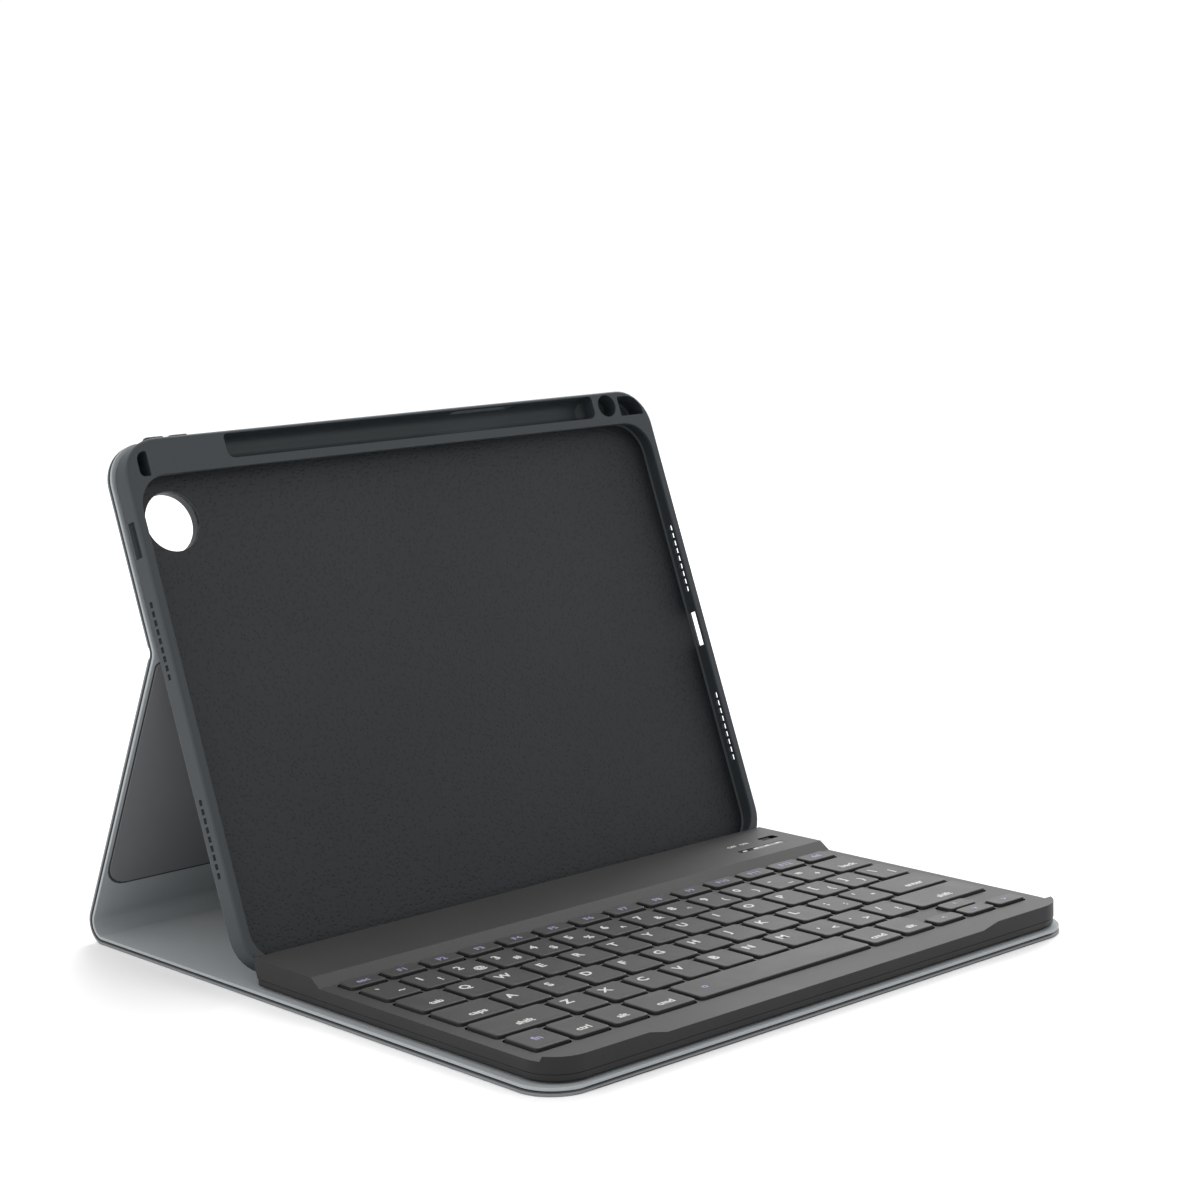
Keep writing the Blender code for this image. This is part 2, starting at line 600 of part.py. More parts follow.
def make_key_support(parent):
    """Steel plate, switch membrane and rubber dome sheet under the keys."""
    x = grown((-KEYBOARD_HALF_WIDTH, KEYBOARD_HALF_WIDTH), -CASE_WALL - 2.5 * MM)
    y = (KEYBOARD_Y0 + 13 * MM, LEDGE_FRONT_Y - MM)
    layers = (
        ("key_support_plate", 0.4, STEEL_LOOK),
        ("switch_membrane", 0.2, ((0.45, 0.47, 0.42), 0.40, 0.0)),
        ("rubber_dome_sheet", 0.3, ((0.55, 0.55, 0.55), 0.80, 0.0)),
    )
    low = FLOOR_TOP_Z + GAP
    for name, thickness, look in layers:
        high = low + thickness * MM
        slab(name, x, y, (low, high), look, parent)
        low = high + GAP


def make_electronics(parent, top):
    """Battery, circuit board, charging socket, magnet, power switch and indicator window."""
    green = ((0.020, 0.110, 0.050), 0.45, 0.0)
    silver = ((0.420, 0.430, 0.440), 0.55, 0.3)
    bay_y = (LEDGE_FRONT_Y + 5.5 * MM, LEDGE_FRONT_Y + 24.5 * MM)
    floor_z = FLOOR_TOP_Z + GAP
    slab("battery", (-60 * MM, 30 * MM), bay_y, (floor_z, floor_z + 4.2 * MM), silver, parent)
    board_z = (floor_z, floor_z + 1.0 * MM)
    slab("circuit_board", (50 * MM, 119 * MM), bay_y, board_z, green, parent)
    magnet_y = (CAVITY_Y[1] - 5 * MM, CAVITY_Y[1] - MM)
    magnet_z = (floor_z, floor_z + 5 * MM)
    slab("ledge_magnet", (-60 * MM, 60 * MM), magnet_y, magnet_z, STEEL_LOOK, parent)

    socket_y = (LEDGE_FRONT_Y + 10.5 * MM, LEDGE_FRONT_Y + 19.5 * MM)
    socket_z = (board_z[1] + GAP, board_z[1] + GAP + 4.6 * MM)
    mouth_z = (socket_z[1] - 3.2 * MM, socket_z[1] - 0.5 * MM)
    socket_x = (KEYBOARD_HALF_WIDTH - 9.5 * MM, KEYBOARD_HALF_WIDTH - CASE_WALL - GAP)
    socket = slab("charging_socket", socket_x, socket_y, socket_z, STEEL_LOOK, parent)
    mouth_x = (socket_x[0] + 2 * MM, socket_x[1] + MM)
    mouth = slab(
        "socket_mouth", mouth_x, grown(socket_y, -0.5 * MM), mouth_z, None, parent
    )
    boolean(socket, mouth)
    port_x = (KEYBOARD_HALF_WIDTH - 3 * MM, KEYBOARD_HALF_WIDTH + MM)
    port = slab("charging_port", port_x, grown(socket_y, GAP), grown(mouth_z, 0.8 * MM), None, parent)
    boolean(top, port)

    light_y = (LEDGE_FRONT_Y + 13.8 * MM, LEDGE_FRONT_Y + 16.2 * MM)
    light_x = (89 * MM, 113 * MM)
    plate_z = (LEDGE_Z - CASE_PLATE, LEDGE_Z)
    slab(
        "indicator_window", light_x, light_y, (plate_z[0] - MM, plate_z[1] - 0.1 * MM),
        ((0.35, 0.36, 0.38), 0.20, 0.0), parent,
    )
    light_hole = slab(
        "indicator_hole", grown(light_x, GAP), grown(light_y, GAP), grown(plate_z, 2 * MM), None,
        parent,
    )
    boolean(top, light_hole)

    travel = 2.5 * MM
    knob_x = (109 * MM, 114 * MM)
    knob_y = (LEDGE_FRONT_Y + 21.5 * MM, LEDGE_FRONT_Y + 24.5 * MM)
    knob_z = (plate_z[0] - 1.5 * MM, LEDGE_Z - 0.2 * MM)
    slab("power_switch", knob_x, knob_y, knob_z, KEY_LOOK, parent)
    slot_x = (knob_x[0] - GAP, knob_x[1] + travel + GAP)
    slot = slab("switch_slot", slot_x, grown(knob_y, GAP), grown(plate_z, 2 * MM), None, parent)
    boolean(top, slot)


def make_screws(parent, bottom, top):
    """Four screws that hold the case halves together, each into a boss of the top case."""
    front_y = KEYBOARD_Y0 + 7.5 * MM
    rear_y = LEDGE_REAR_Y - 9 * MM
    places = {
        "screw_front_left": (-112 * MM, front_y, DECK_Z),
        "screw_front_right": (112 * MM, front_y, DECK_Z),
        "screw_rear_left": (-112 * MM, rear_y, LEDGE_Z),
        "screw_rear_right": (112 * MM, rear_y, LEDGE_Z),
    }
    head_z = (KEYBOARD_BOTTOM_Z + 0.2 * MM, FLOOR_TOP_Z - 0.1 * MM)
    for name, (x, y, surface_z) in places.items():
        boss_z = (FLOOR_TOP_Z + GAP, surface_z - CASE_PLATE / 2)
        boss = upright_cylinder(name + "_boss", x, y, boss_z, 3.0 * MM, None, parent, 16)
        boolean(top, boss, "UNION")
        hole_z = (FLOOR_TOP_Z - MM, boss_z[1] - 1.5 * MM)
        pilot = upright_cylinder(name + "_pilot", x, y, hole_z, 1.2 * MM, None, parent, 12)
        boolean(top, pilot)
        profile = [(0, head_z[0]), (1.9 * MM, head_z[0]), (1.9 * MM, head_z[1])]
        profile += [(0.9 * MM, head_z[1]), (0.9 * MM, hole_z[1] - GAP), (0, hole_z[1] - GAP)]
        turned_part(name, x, y, profile, STEEL_LOOK, parent)
        sink_z = (KEYBOARD_BOTTOM_Z - MM, head_z[1] + GAP / 3)
        sink = upright_cylinder(name + "_sink", x, y, sink_z, 2.2 * MM, None, parent, 16)
        boolean(bottom, sink)
        through = upright_cylinder(
            name + "_through", x, y, (KEYBOARD_BOTTOM_Z, SPLIT_Z), 1.2 * MM, None, parent, 12
        )
        boolean(bottom, through)


def turned_part(name, x, y, profile, look, parent):
    """A profile of (radius, z) points turned about an upright axis at x, y."""
    bm = bmesh.new()
    verts = [bm.verts.new((radius, 0, z)) for radius, z in reversed(profile)]
    for first, second in zip(verts, verts[1:]):
        bm.edges.new((first, second))
    mesh = bpy.data.meshes.new(name)
    bm.to_mesh(mesh)
    bm.free()
    obj = add_object(name, mesh, (x, y, 0), look, parent)
    screw = obj.modifiers.new("turn", "SCREW")
    screw.steps = 16
    screw.render_steps = 16
    screw.use_merge_vertices = True
    screw.merge_threshold = 1e-5
    return obj


def make_feet(parent, bottom):
    """Two rubber strips that the keyboard stands on, let into the bottom case."""
    x = (-95 * MM, 95 * MM)
    low = PANEL_THICKNESS + GAP
    z = (low, low + 0.6 * MM)
    rubber = ((0.020, 0.020, 0.020), 0.90, 0.0)
    for name, middle in (("front_foot", KEYBOARD_Y0 + 12 * MM), ("rear_foot", LEDGE_REAR_Y - 12 * MM)):
        y = grown((middle, middle), 3.5 * MM)
        slab(name, x, y, z, rubber, parent)
        recess_z = (KEYBOARD_BOTTOM_Z - MM, z[1] + GAP)
        recess = slab(name + "_recess", grown(x, GAP), grown(y, GAP), recess_z, None, parent)
        boolean(bottom, recess)


# ---------------------------------------------------------------- assembly

def main():
    clear_scene()
    make_base()
    make_spine()
    leg_hinge = empty("leg_hinge_axis", LEG_AXIS, LEG_ANGLE)
    make_leg(leg_hinge)
    fold_hinge = empty("fold_hinge_axis", FOLD_AXIS, TRAY_TILT)
    camera = make_upper_panel(fold_hinge)
    make_tray(fold_hinge, camera)
    keyboard = empty("keyboard_lift_axis", (0, 0, 0))
    top, bottom = make_keyboard_case(keyboard)
    make_keys(keyboard, top)
    make_key_support(keyboard)
    make_electronics(keyboard, top)
    make_screws(keyboard, bottom, top)
    make_feet(keyboard, bottom)


main()
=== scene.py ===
import json
import math

import bmesh
import bpy
from mathutils import Matrix, Vector


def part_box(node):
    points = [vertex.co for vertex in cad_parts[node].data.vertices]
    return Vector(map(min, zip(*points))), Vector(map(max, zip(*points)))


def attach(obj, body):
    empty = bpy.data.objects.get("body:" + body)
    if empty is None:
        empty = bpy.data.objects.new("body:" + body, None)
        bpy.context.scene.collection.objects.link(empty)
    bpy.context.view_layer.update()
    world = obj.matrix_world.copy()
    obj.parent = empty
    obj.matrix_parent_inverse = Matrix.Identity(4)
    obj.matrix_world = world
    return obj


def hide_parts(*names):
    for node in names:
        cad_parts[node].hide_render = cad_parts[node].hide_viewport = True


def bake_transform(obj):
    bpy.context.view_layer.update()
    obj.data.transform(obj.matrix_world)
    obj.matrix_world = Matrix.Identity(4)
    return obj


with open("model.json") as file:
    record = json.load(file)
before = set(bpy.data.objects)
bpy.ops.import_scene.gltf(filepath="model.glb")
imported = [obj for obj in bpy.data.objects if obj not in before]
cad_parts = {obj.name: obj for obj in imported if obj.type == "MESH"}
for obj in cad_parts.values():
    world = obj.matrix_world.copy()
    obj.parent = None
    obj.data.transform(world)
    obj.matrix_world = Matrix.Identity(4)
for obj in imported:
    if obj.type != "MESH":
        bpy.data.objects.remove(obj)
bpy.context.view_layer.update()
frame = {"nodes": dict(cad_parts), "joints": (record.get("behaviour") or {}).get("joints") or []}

MM = 0.001
HAIR = 0.02 * MM  # the smallest rim, which keeps a loop from closing on itself
BEVEL_SEGMENTS = 3
BEVEL_ANGLE = math.radians(35)  # creases sharper than this are rounded

# ---------------------------------------------------------------- measures taken from the frame

JOINTS = {joint["name"]: joint for joint in frame["joints"]}
LEG_AXIS = Vector(JOINTS["leg_hinge"]["pos_m"])
FOLD_AXIS = Vector(JOINTS["fold_hinge"]["pos_m"])
BASE_LOW, BASE_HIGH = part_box("base_skin")
PANEL_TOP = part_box("base_lining")[1].z
HALF_PANEL = PANEL_TOP / 2
PANEL_HALF_WIDTH = BASE_HIGH.x
TRAY_TILT = math.radians(70)
LEG_VECTOR = FOLD_AXIS - LEG_AXIS
LEG_LENGTH = LEG_VECTOR.length
LEG_ANGLE = math.atan2(LEG_VECTOR.z, LEG_VECTOR.y)
TRAY_MATRIX = Matrix.Translation(FOLD_AXIS) @ Matrix.Rotation(TRAY_TILT, 4, "X")
LEG_MATRIX = Matrix.Translation(LEG_AXIS) @ Matrix.Rotation(LEG_ANGLE, 4, "X")

# Tray, in its own frame: Y up the tray from the fold, Z towards the screen side
TRAY_X = 125.4 * MM
TRAY_Y = (-118 * MM, 74.6 * MM)
TRAY_Z = (1.8 * MM, 11.6 * MM)
POCKET_X = 124.1 * MM
POCKET_Y = (-116.2 * MM, 62.9 * MM)
POCKET_Z = (3.4 * MM, 10.1 * MM)
OPENING_X = 121.9 * MM
OPENING_Y = (-114.0 * MM, 60.7 * MM)
TROUGH_Y = (64.1 * MM, 73.3 * MM)
TROUGH_X = (-82 * MM, 96 * MM)
CAMERA_AT = (-106.3 * MM, 45.4 * MM)
CAMERA_RADIUS = 11 * MM
SHELL_RADIUS = 15 * MM
OPENING_RADIUS = 12 * MM
POCKET_RADIUS = 13.7 * MM
WALL_MIDDLE_Z = 6.75 * MM
SPEAKER_ROWS = (36 * MM, 107 * MM)  # where each row starts, from the tray's lower end
SPEAKER_COUNT = 9
SPEAKER_PITCH = 3.25 * MM
SPEAKER_LENGTH = 2.1 * MM
UPPER_END = TRAY_Y[1] + 0.8 * MM

# Keyboard
DECK_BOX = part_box("keyboard_top_case")
CASE_X = DECK_BOX[1].x
CASE_Y0 = DECK_BOX[0].y
LEDGE_REAR_Y = DECK_BOX[1].y
LEDGE_Z = DECK_BOX[1].z
CASE_BOTTOM_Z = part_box("keyboard_bottom_case")[0].z
SPLIT_Z = 6.4 * MM
DECK_Z = 10.3 * MM
PAD_Z = 12.0 * MM
LEDGE_FRONT_Y = LEDGE_REAR_Y - 38.2 * MM
STEP_RUN = 4.5 * MM
PAD_Y = CASE_Y0 + 7.0 * MM
CASE_RADIUS = 13.5 * MM

KEY_UNIT = 16.6 * MM
KEY_GAP = 2.0 * MM
KEY_TOP_Z = 11.5 * MM
KEY_LOW_Z = 8.35 * MM
ROW_UNITS = 14.25
ROW_DEPTH = 16.4 * MM
ROW_PITCH = 18.4 * MM
FUNCTION_DEPTH = 8.6 * MM
FUNCTION_ROW_Y1 = LEDGE_FRONT_Y - 1.5 * MM
FIRST_ROW_Y1 = FUNCTION_ROW_Y1 - FUNCTION_DEPTH - 2.9 * MM
FUNCTION_UNIT = ROW_UNITS / 14
WELL_CLEARANCE = 0.5 * MM
WELL_RADIUS = 1.9 * MM
WELL_FLOOR_Z = 6.8 * MM
WELL_TOUCH = 0.2 * MM  # wells nearer than this become one

# Legends: size by kind, and how far a glyph's outline is pushed out, as a share of its size
LETTER_SIZE = 5.4 * MM
WORD_SIZE = 4.2 * MM
SECOND_SIZE = 4.6 * MM
SMALL_SIZE = 4.0 * MM
LEDGE_MARK_SIZE = 2.6 * MM
LEGEND_WEIGHT = 0.028
WHITE_LEGEND = (0.50, 0.50, 0.48)
LILAC_LEGEND = (0.22, 0.21, 0.34)

# Setting: floor side in metres, then each light's name, place, target, side in metres and watts
FLOOR_SIZE = 60
FLOOR_WHITE = (0.97, 0.97, 0.97, 1)
WORLD_STRENGTH = 1.04
LIGHTS = (
    ("key_light", (1.0, 0.8, 1.3), (0, 0, 0.05), 1.0, 14.0),
    ("left_light", (-1.6, 0.1, 0.6), (0, 0, 0.05), 0.7, 7.0),
    ("front_light", (0.6, -1.5, 1.0), (0, 0, 0.08), 0.8, 3.0),
    ("rim_light", (1.6, 0.5, 0.6), (0, 0, 0.08), 0.5, 8.0),
)

# Camera: place in mm, azimuth, elevation and roll in degrees, focal length in mm
CAMERA_PLACE = (-624.4, -714.5, 272.3)
CAMERA_ANGLES = (41.92, -8.90, 1.71)
CAMERA_LENS = 80.34


# ---------------------------------------------------------------- materials

def node_tree(name):
    """A new material, its node tree and its Principled shader."""
    mat = bpy.data.materials.new(name)
    mat.use_nodes = True
    return mat, mat.node_tree, mat.node_tree.nodes["Principled BSDF"]


def noise(tree, vector, scale, detail=3.0, roughness=0.55):
    """A noise texture's value, at scale cells a metre along each axis."""
    mapping = tree.nodes.new("ShaderNodeMapping")
    mapping.inputs["Scale"].default_value = scale
    tree.links.new(vector, mapping.inputs["Vector"])
    texture = tree.nodes.new("ShaderNodeTexNoise")
    texture.inputs["Scale"].default_value = 1.0
    texture.inputs["Detail"].default_value = detail
    texture.inputs["Roughness"].default_value = roughness
    tree.links.new(mapping.outputs["Vector"], texture.inputs["Vector"])
    return texture.outputs["Fac"]


def math_node(tree, operation, *values):
    """A math node of one operation on sockets or plain numbers."""
    node = tree.nodes.new("ShaderNodeMath")
    node.operation = operation
    for index, value in enumerate(values):
        if isinstance(value, (int, float)):
            node.inputs[index].default_value = value
        else:
            tree.links.new(value, node.inputs[index])
    return node.outputs[0]


def ranged(tree, value, low, high):
    """Stretch the part of its range that noise fills, 0.3 to 0.7, to low to high."""
    node = tree.nodes.new("ShaderNodeMapRange")
    limits = {"From Min": 0.3, "From Max": 0.7, "To Min": low, "To Max": high}
    for socket, limit in limits.items():
        node.inputs[socket].default_value = limit
    tree.links.new(value, node.inputs["Value"])
    return node.outputs["Result"]


def cells(tree, vector, scale):
    """Distance to the middle of the nearest cell, scale cells a metre."""
    texture = tree.nodes.new("ShaderNodeTexVoronoi")
    texture.inputs["Scale"].default_value = scale
    tree.links.new(vector, texture.inputs["Vector"])
    return texture.outputs["Distance"]


def grain_height(tree, vector, kind):
    """The height of a material's fine surface. Scales are in cells a metre."""
    if kind == "cloth":
        warp = noise(tree, vector, (900, 120, 400), 2.0)
        weft = noise(tree, vector, (120, 900, 400), 2.0)
        return math_node(tree, "MAXIMUM", warp, weft)
    if kind == "nap":
        fine = noise(tree, vector, (1400, 1400, 1400), 4.0)
        soft = noise(tree, vector, (90, 90, 90), 2.0)
        return math_node(tree, "ADD", fine, math_node(tree, "MULTIPLY", soft, 0.8))
    if kind == "moulded":
        return cells(tree, vector, 2200)
    if kind == "dots":
        dots = cells(tree, vector, 700)
        return math_node(tree, "SMOOTH_MIN", dots, 0.45, 0.1)
    if kind == "brushed":
        return noise(tree, vector, (60, 2600, 2600), 2.0)
    return noise(tree, vector, (2600, 2600, 2600), 3.0)


def surface(name, colour, roughness, kind="fine", bump=0.3, depth=0.05, spread=0.10,
            patch=25.0, uses_uv=False, metallic=0.0, sheen=0.0, coat=0.0, specular=0.5):
    """A material with drifting colour and roughness and a fine surface of one kind.

    depth is the grain's height in mm, patch the colour patches a metre, and spread how far the
    colour drifts each way, as a share of itself.
    """
    mat, tree, shader = node_tree(name)
    coords = tree.nodes.new("ShaderNodeTexCoord")
    vector = coords.outputs["UV" if uses_uv else "Object"]
    patches = noise(tree, vector, (patch, patch, patch), 4.0)
    grain = grain_height(tree, vector, kind)
    fine = grain
    if kind not in ("cloth", "dots"):
        fine = noise(tree, vector, (1800, 1800, 1800), 2.0)
    drift = math_node(tree, "ADD", math_node(tree, "MULTIPLY", patches, 0.5),
                      math_node(tree, "MULTIPLY", fine, 0.5))
    mix = tree.nodes.new("ShaderNodeMix")
    mix.data_type = "RGBA"
    mix.inputs["A"].default_value = (*(c * (1 - spread) for c in colour), 1)
    mix.inputs["B"].default_value = (*(c * (1 + spread) for c in colour), 1)
    tree.links.new(ranged(tree, drift, 0.0, 1.0), mix.inputs["Factor"])
    tree.links.new(mix.outputs["Result"], shader.inputs["Base Color"])
    worn = ranged(tree, patches, roughness - 0.05, min(roughness + 0.05, 1.0))
    tree.links.new(worn, shader.inputs["Roughness"])
    height = tree.nodes.new("ShaderNodeBump")
    height.inputs["Strength"].default_value = bump
    height.inputs["Distance"].default_value = depth * MM
    tree.links.new(grain, height.inputs["Height"])
    tree.links.new(height.outputs["Normal"], shader.inputs["Normal"])
    shader.inputs["Metallic"].default_value = metallic
    shader.inputs["Sheen Weight"].default_value = sheen
    shader.inputs["Sheen Roughness"].default_value = 0.4
    shader.inputs["Coat Weight"].default_value = coat
    shader.inputs["Specular IOR Level"].default_value = specular
    return mat


COVER_CLOTH = surface("cover_cloth", (0.026, 0.030, 0.033), 0.58, "cloth", 1.0, 0.22,
                      0.50, 18, True, specular=0.4)
# Lighter grey for the skin's rounded rims, its ends and the camera hole's wall: painted highlight
# along the edges
COVER_EDGE_HIGHLIGHT = surface("cover_edge_painted_highlight", (0.15, 0.158, 0.165), 0.55, "nap", 0.2, 0.05, 0.08, 40, True)
LINING = surface("lining_nap", (0.290, 0.310, 0.322), 0.80, "nap", 0.35, 0.08, 0.07, 12, True,
                 sheen=0.15)
LINER_PANEL = surface("liner_panel", (0.150, 0.153, 0.158), 0.78, "nap", 0.35, 0.08, 0.07, 12,
                      True, sheen=0.1)
# Near-black sheet just bigger than the liner panel, under its edge: painted shadow of the panel's
# step
LINER_SHADOW = surface("liner_painted_shadow", (0.030, 0.032, 0.034), 0.80, "nap", 0.2, 0.05, 0.10, 30,
                       True)
TRAY_SKIN = surface("tray_skin", (0.024, 0.030, 0.034), 0.50, "moulded", 0.25, 0.05, 0.10, 20,
                    specular=0.3)
TRAY_FLOOR = surface("tray_floor", (0.015, 0.017, 0.019), 0.62, "dots", 1.0, 0.40, 0.45, 14,
                     specular=0.3)
DECK_PLASTIC = surface("deck_plastic", (0.035, 0.035, 0.034), 0.54, "moulded", 0.45, 0.07, 0.08,
                       20, specular=0.3)
# Near-black: used for the whole lower shell, and as painted shade on the deck's upright faces
CASE_DARK_AND_SIDE_SHADE = surface("case_dark_and_side_shade", (0.010, 0.010, 0.010), 0.50, "moulded", 0.30, 0.05, 0.10, 25,
                    specular=0.25)
KEY_PLASTIC = surface("key_plastic", (0.038, 0.038, 0.037), 0.50, "moulded", 0.45, 0.07, 0.08,
                      60, specular=0.35)
# Darker copy of the key plastic for the caps' sides: painted shade
KEY_SIDE_SHADE = surface("key_side_painted_shade", (0.012, 0.012, 0.012), 0.50, "moulded", 0.22, 0.04, 0.08, 60,
                   specular=0.3)
# Near-black for the walls and floors of key wells, ledge slots and the charging port: painted shade
# in the recesses
KEY_WELL_SHADE = surface("key_well_painted_shade", (0.004, 0.004, 0.004), 0.70, "fine", 0.2, 0.03, 0.10, 40,
                   specular=0.1)
LEGEND = surface("legend_ink", WHITE_LEGEND, 0.55, "fine", 0.05, 0.01, 0.05, 200)
LEGEND_SECOND = surface("legend_ink_lilac", LILAC_LEGEND, 0.55, "fine", 0.05, 0.01, 0.05, 200)
STEEL = surface("steel_brushed", (0.50, 0.51, 0.52), 0.34, "brushed", 0.3, 0.02, 0.08, 30,
                metallic=1.0)
BLACK_STEEL = surface("screw_black", (0.06, 0.06, 0.06), 0.38, "brushed", 0.3, 0.02, 0.10, 60,
                      metallic=0.8)
FOOT_RUBBER = surface("foot_rubber", (0.016, 0.016, 0.016), 0.85, "fine", 0.5, 0.06, 0.15, 60)
SILICONE = surface("dome_silicone", (0.50, 0.50, 0.50), 0.60, "dots", 0.4, 0.10, 0.05, 40)
FILM = surface("membrane_film", (0.42, 0.44, 0.40), 0.25, "fine", 0.1, 0.02, 0.08, 50, coat=0.5)
BOARD_GREEN = surface("solder_mask", (0.012, 0.080, 0.035), 0.35, "fine", 0.2, 0.03, 0.20, 300,
                      coat=0.4)
FOIL = surface("battery_foil", (0.40, 0.41, 0.42), 0.40, "nap", 0.5, 0.10, 0.08, 60,
               metallic=0.6)
WINDOW = surface("indicator_plastic", (0.030, 0.030, 0.032), 0.18, "fine", 0.05, 0.01, 0.05, 60,
                 coat=0.6)


# ---------------------------------------------------------------- mesh helpers

def loop_points(x, y, radii, steps=6):
    """Points round a rectangle, anticlockwise, with a radius for each corner.

    The corners are front right, rear right, rear left and front left.
    """
    if isinstance(radii, (int, float)):
        radii = (radii,) * 4
    corners = ((x[1], y[0], -1, 1), (x[1], y[1], -1, -1), (x[0], y[1], 1, -1), (x[0], y[0], 1, 1))
    points = []
    for index, (cx, cy, sx, sy) in enumerate(corners):
        radius = max(radii[index], 1e-5)
        start = -math.pi / 2 + index * math.pi / 2
        for step in range(steps + 1):
            angle = start + math.pi / 2 * step / steps
            points.append((cx + sx * radius + radius * math.cos(angle),
                           cy + sy * radius + radius * math.sin(angle)))
    return points


def inset_loop(x, y, radii, inset, steps=6):
    """The same rounded rectangle, drawn in by inset."""
    if isinstance(radii, (int, float)):
        radii = (radii,) * 4
    return loop_points((x[0] + inset, x[1] - inset), (y[0] + inset, y[1] - inset),
                       [max(radius - inset, 0.05 * MM) for radius in radii], steps)


def mesh_object(name, bm, materials, matrix=None):
    """Turn bm into a linked object with the given materials."""
    if matrix is not None:
        bmesh.ops.transform(bm, matrix=matrix, verts=bm.verts)
    mesh = bpy.data.meshes.new(name)
    bm.to_mesh(mesh)
    bm.free()
    obj = bpy.data.objects.new(name, mesh)
    bpy.context.scene.collection.objects.link(obj)
    for mat in materials:
        mesh.materials.append(mat)
    return obj


def soften(obj, angle=50.0):
    """Smooth shading that keeps the large faces flat."""
    obj.data.shade_smooth()
    obj.data.set_sharp_from_angle(angle=math.radians(angle))
    weighted = obj.modifiers.new("weighted", "WEIGHTED_NORMAL")
    weighted.keep_sharp = True
    weighted.weight = 60
    return obj


def add_stack(bm, loops, material=0, cap_material=None):
    """Skin a pile of loops of (x, y) points at heights z into one closed body."""
    uv = bm.loops.layers.uv.verify()
    rings = []
    for points, z in loops:
        rings.append([bm.verts.new((x, y, z)) for x, y in points])
    faces = []
    for lower, upper in zip(rings, rings[1:]):
        for index in range(len(lower)):
            after = (index + 1) % len(lower)
            faces.append(bm.faces.new(
                (lower[index], lower[after], upper[after], upper[index])))
    faces.append(bm.faces.new(list(reversed(rings[0]))))
    faces.append(bm.faces.new(rings[-1]))
    for face in faces:
        face.material_index = material
        for corner in face.loops:
            corner[uv].uv = (corner.vert.co.x, corner.vert.co.y)
    if cap_material is not None:
        faces[-1].material_index = cap_material
    return faces


def fillet(x, y, radii, z, edge, top=True, steps=3, corner_steps=6):
    """Loops that round the lower or the upper rim of a slab, from bottom to top."""
    loops = []
    for step in range(steps + 1):
        angle = math.pi / 2 * step / steps
        if top:
            inset, height = edge * (1 - math.cos(angle)), z - edge * (1 - math.sin(angle))
        else:
            inset, height = edge * (1 - math.sin(angle)), z + edge * (1 - math.cos(angle))
        loops.append((inset_loop(x, y, radii, inset, corner_steps), height))
    return loops


def add_pad(bm, x, y, z, radii, edges, material=0, corner_steps=6, steps=3):
    """A slab with rounded corners and rounded rims. edges is (lower, upper) rim radius."""
    loops = fillet(x, y, radii, z[0], edges[0], False, steps, corner_steps)
    loops += fillet(x, y, radii, z[1], edges[1], True, steps, corner_steps)
    return add_stack(bm, loops, material)


def pad(name, x, y, z, radii, edges, materials, matrix=None):
    """One rounded slab as an object."""
    bm = bmesh.new()
    add_pad(bm, x, y, z, radii, edges)
    return soften(mesh_object(name, bm, materials, matrix))


def prism_object(name, outline, along, span, materials):
    """An outline of (y, z) points drawn along X, or of (x, z) points drawn along Y."""
    bm = bmesh.new()
    ends = []
    for place in span:
        ends.append([bm.verts.new((place, a, b) if along == "X" else (a, place, b))
                     for a, b in outline])
    count = len(outline)
    for index in range(count):
        after = (index + 1) % count
        bm.faces.new((ends[0][index], ends[0][after], ends[1][after], ends[1][index]))
    bm.faces.new(list(reversed(ends[0])))
    bm.faces.new(ends[1])
    bmesh.ops.recalc_face_normals(bm, faces=bm.faces)
    return mesh_object(name, bm, materials)


def cylinder_object(name, centre, z, radius, materials, segments):
    """An upright cylinder cutter."""
    bm = bmesh.new()
    bmesh.ops.create_cone(bm, cap_ends=True, segments=segments, radius1=radius,
                          radius2=radius, depth=z[1] - z[0])
    bmesh.ops.translate(bm, vec=(centre[0], centre[1], (z[0] + z[1]) / 2), verts=bm.verts)
    return mesh_object(name, bm, materials)


def bake(obj, cutters=(), bevel=0.0):
    """Cut obj with the cutters, round its creases by bevel, and keep the result as its mesh."""
    for cutter in cutters:
        modifier = obj.modifiers.new("cut", "BOOLEAN")
        modifier.operation = "DIFFERENCE"
        modifier.solver = "EXACT"
        modifier.material_mode = "TRANSFER"
        modifier.object = cutter
    if bevel:
        modifier = obj.modifiers.new("bevel", "BEVEL")
        modifier.width = bevel
        modifier.segments = BEVEL_SEGMENTS
        modifier.limit_method = "ANGLE"
        modifier.angle_limit = BEVEL_ANGLE
        modifier.miter_outer = "MITER_ARC"
    bpy.context.view_layer.update()
    evaluated = obj.evaluated_get(bpy.context.evaluated_depsgraph_get())
    mesh = bpy.data.meshes.new_from_object(evaluated)
    obj.modifiers.clear()
    obj.data = mesh
    for cutter in cutters:
        bpy.data.objects.remove(cutter, do_unlink=True)
    return obj


def grown(pair, amount):
    """A (low, high) pair widened at both ends."""
    return (pair[0] - amount, pair[1] + amount)


# ---------------------------------------------------------------- cover

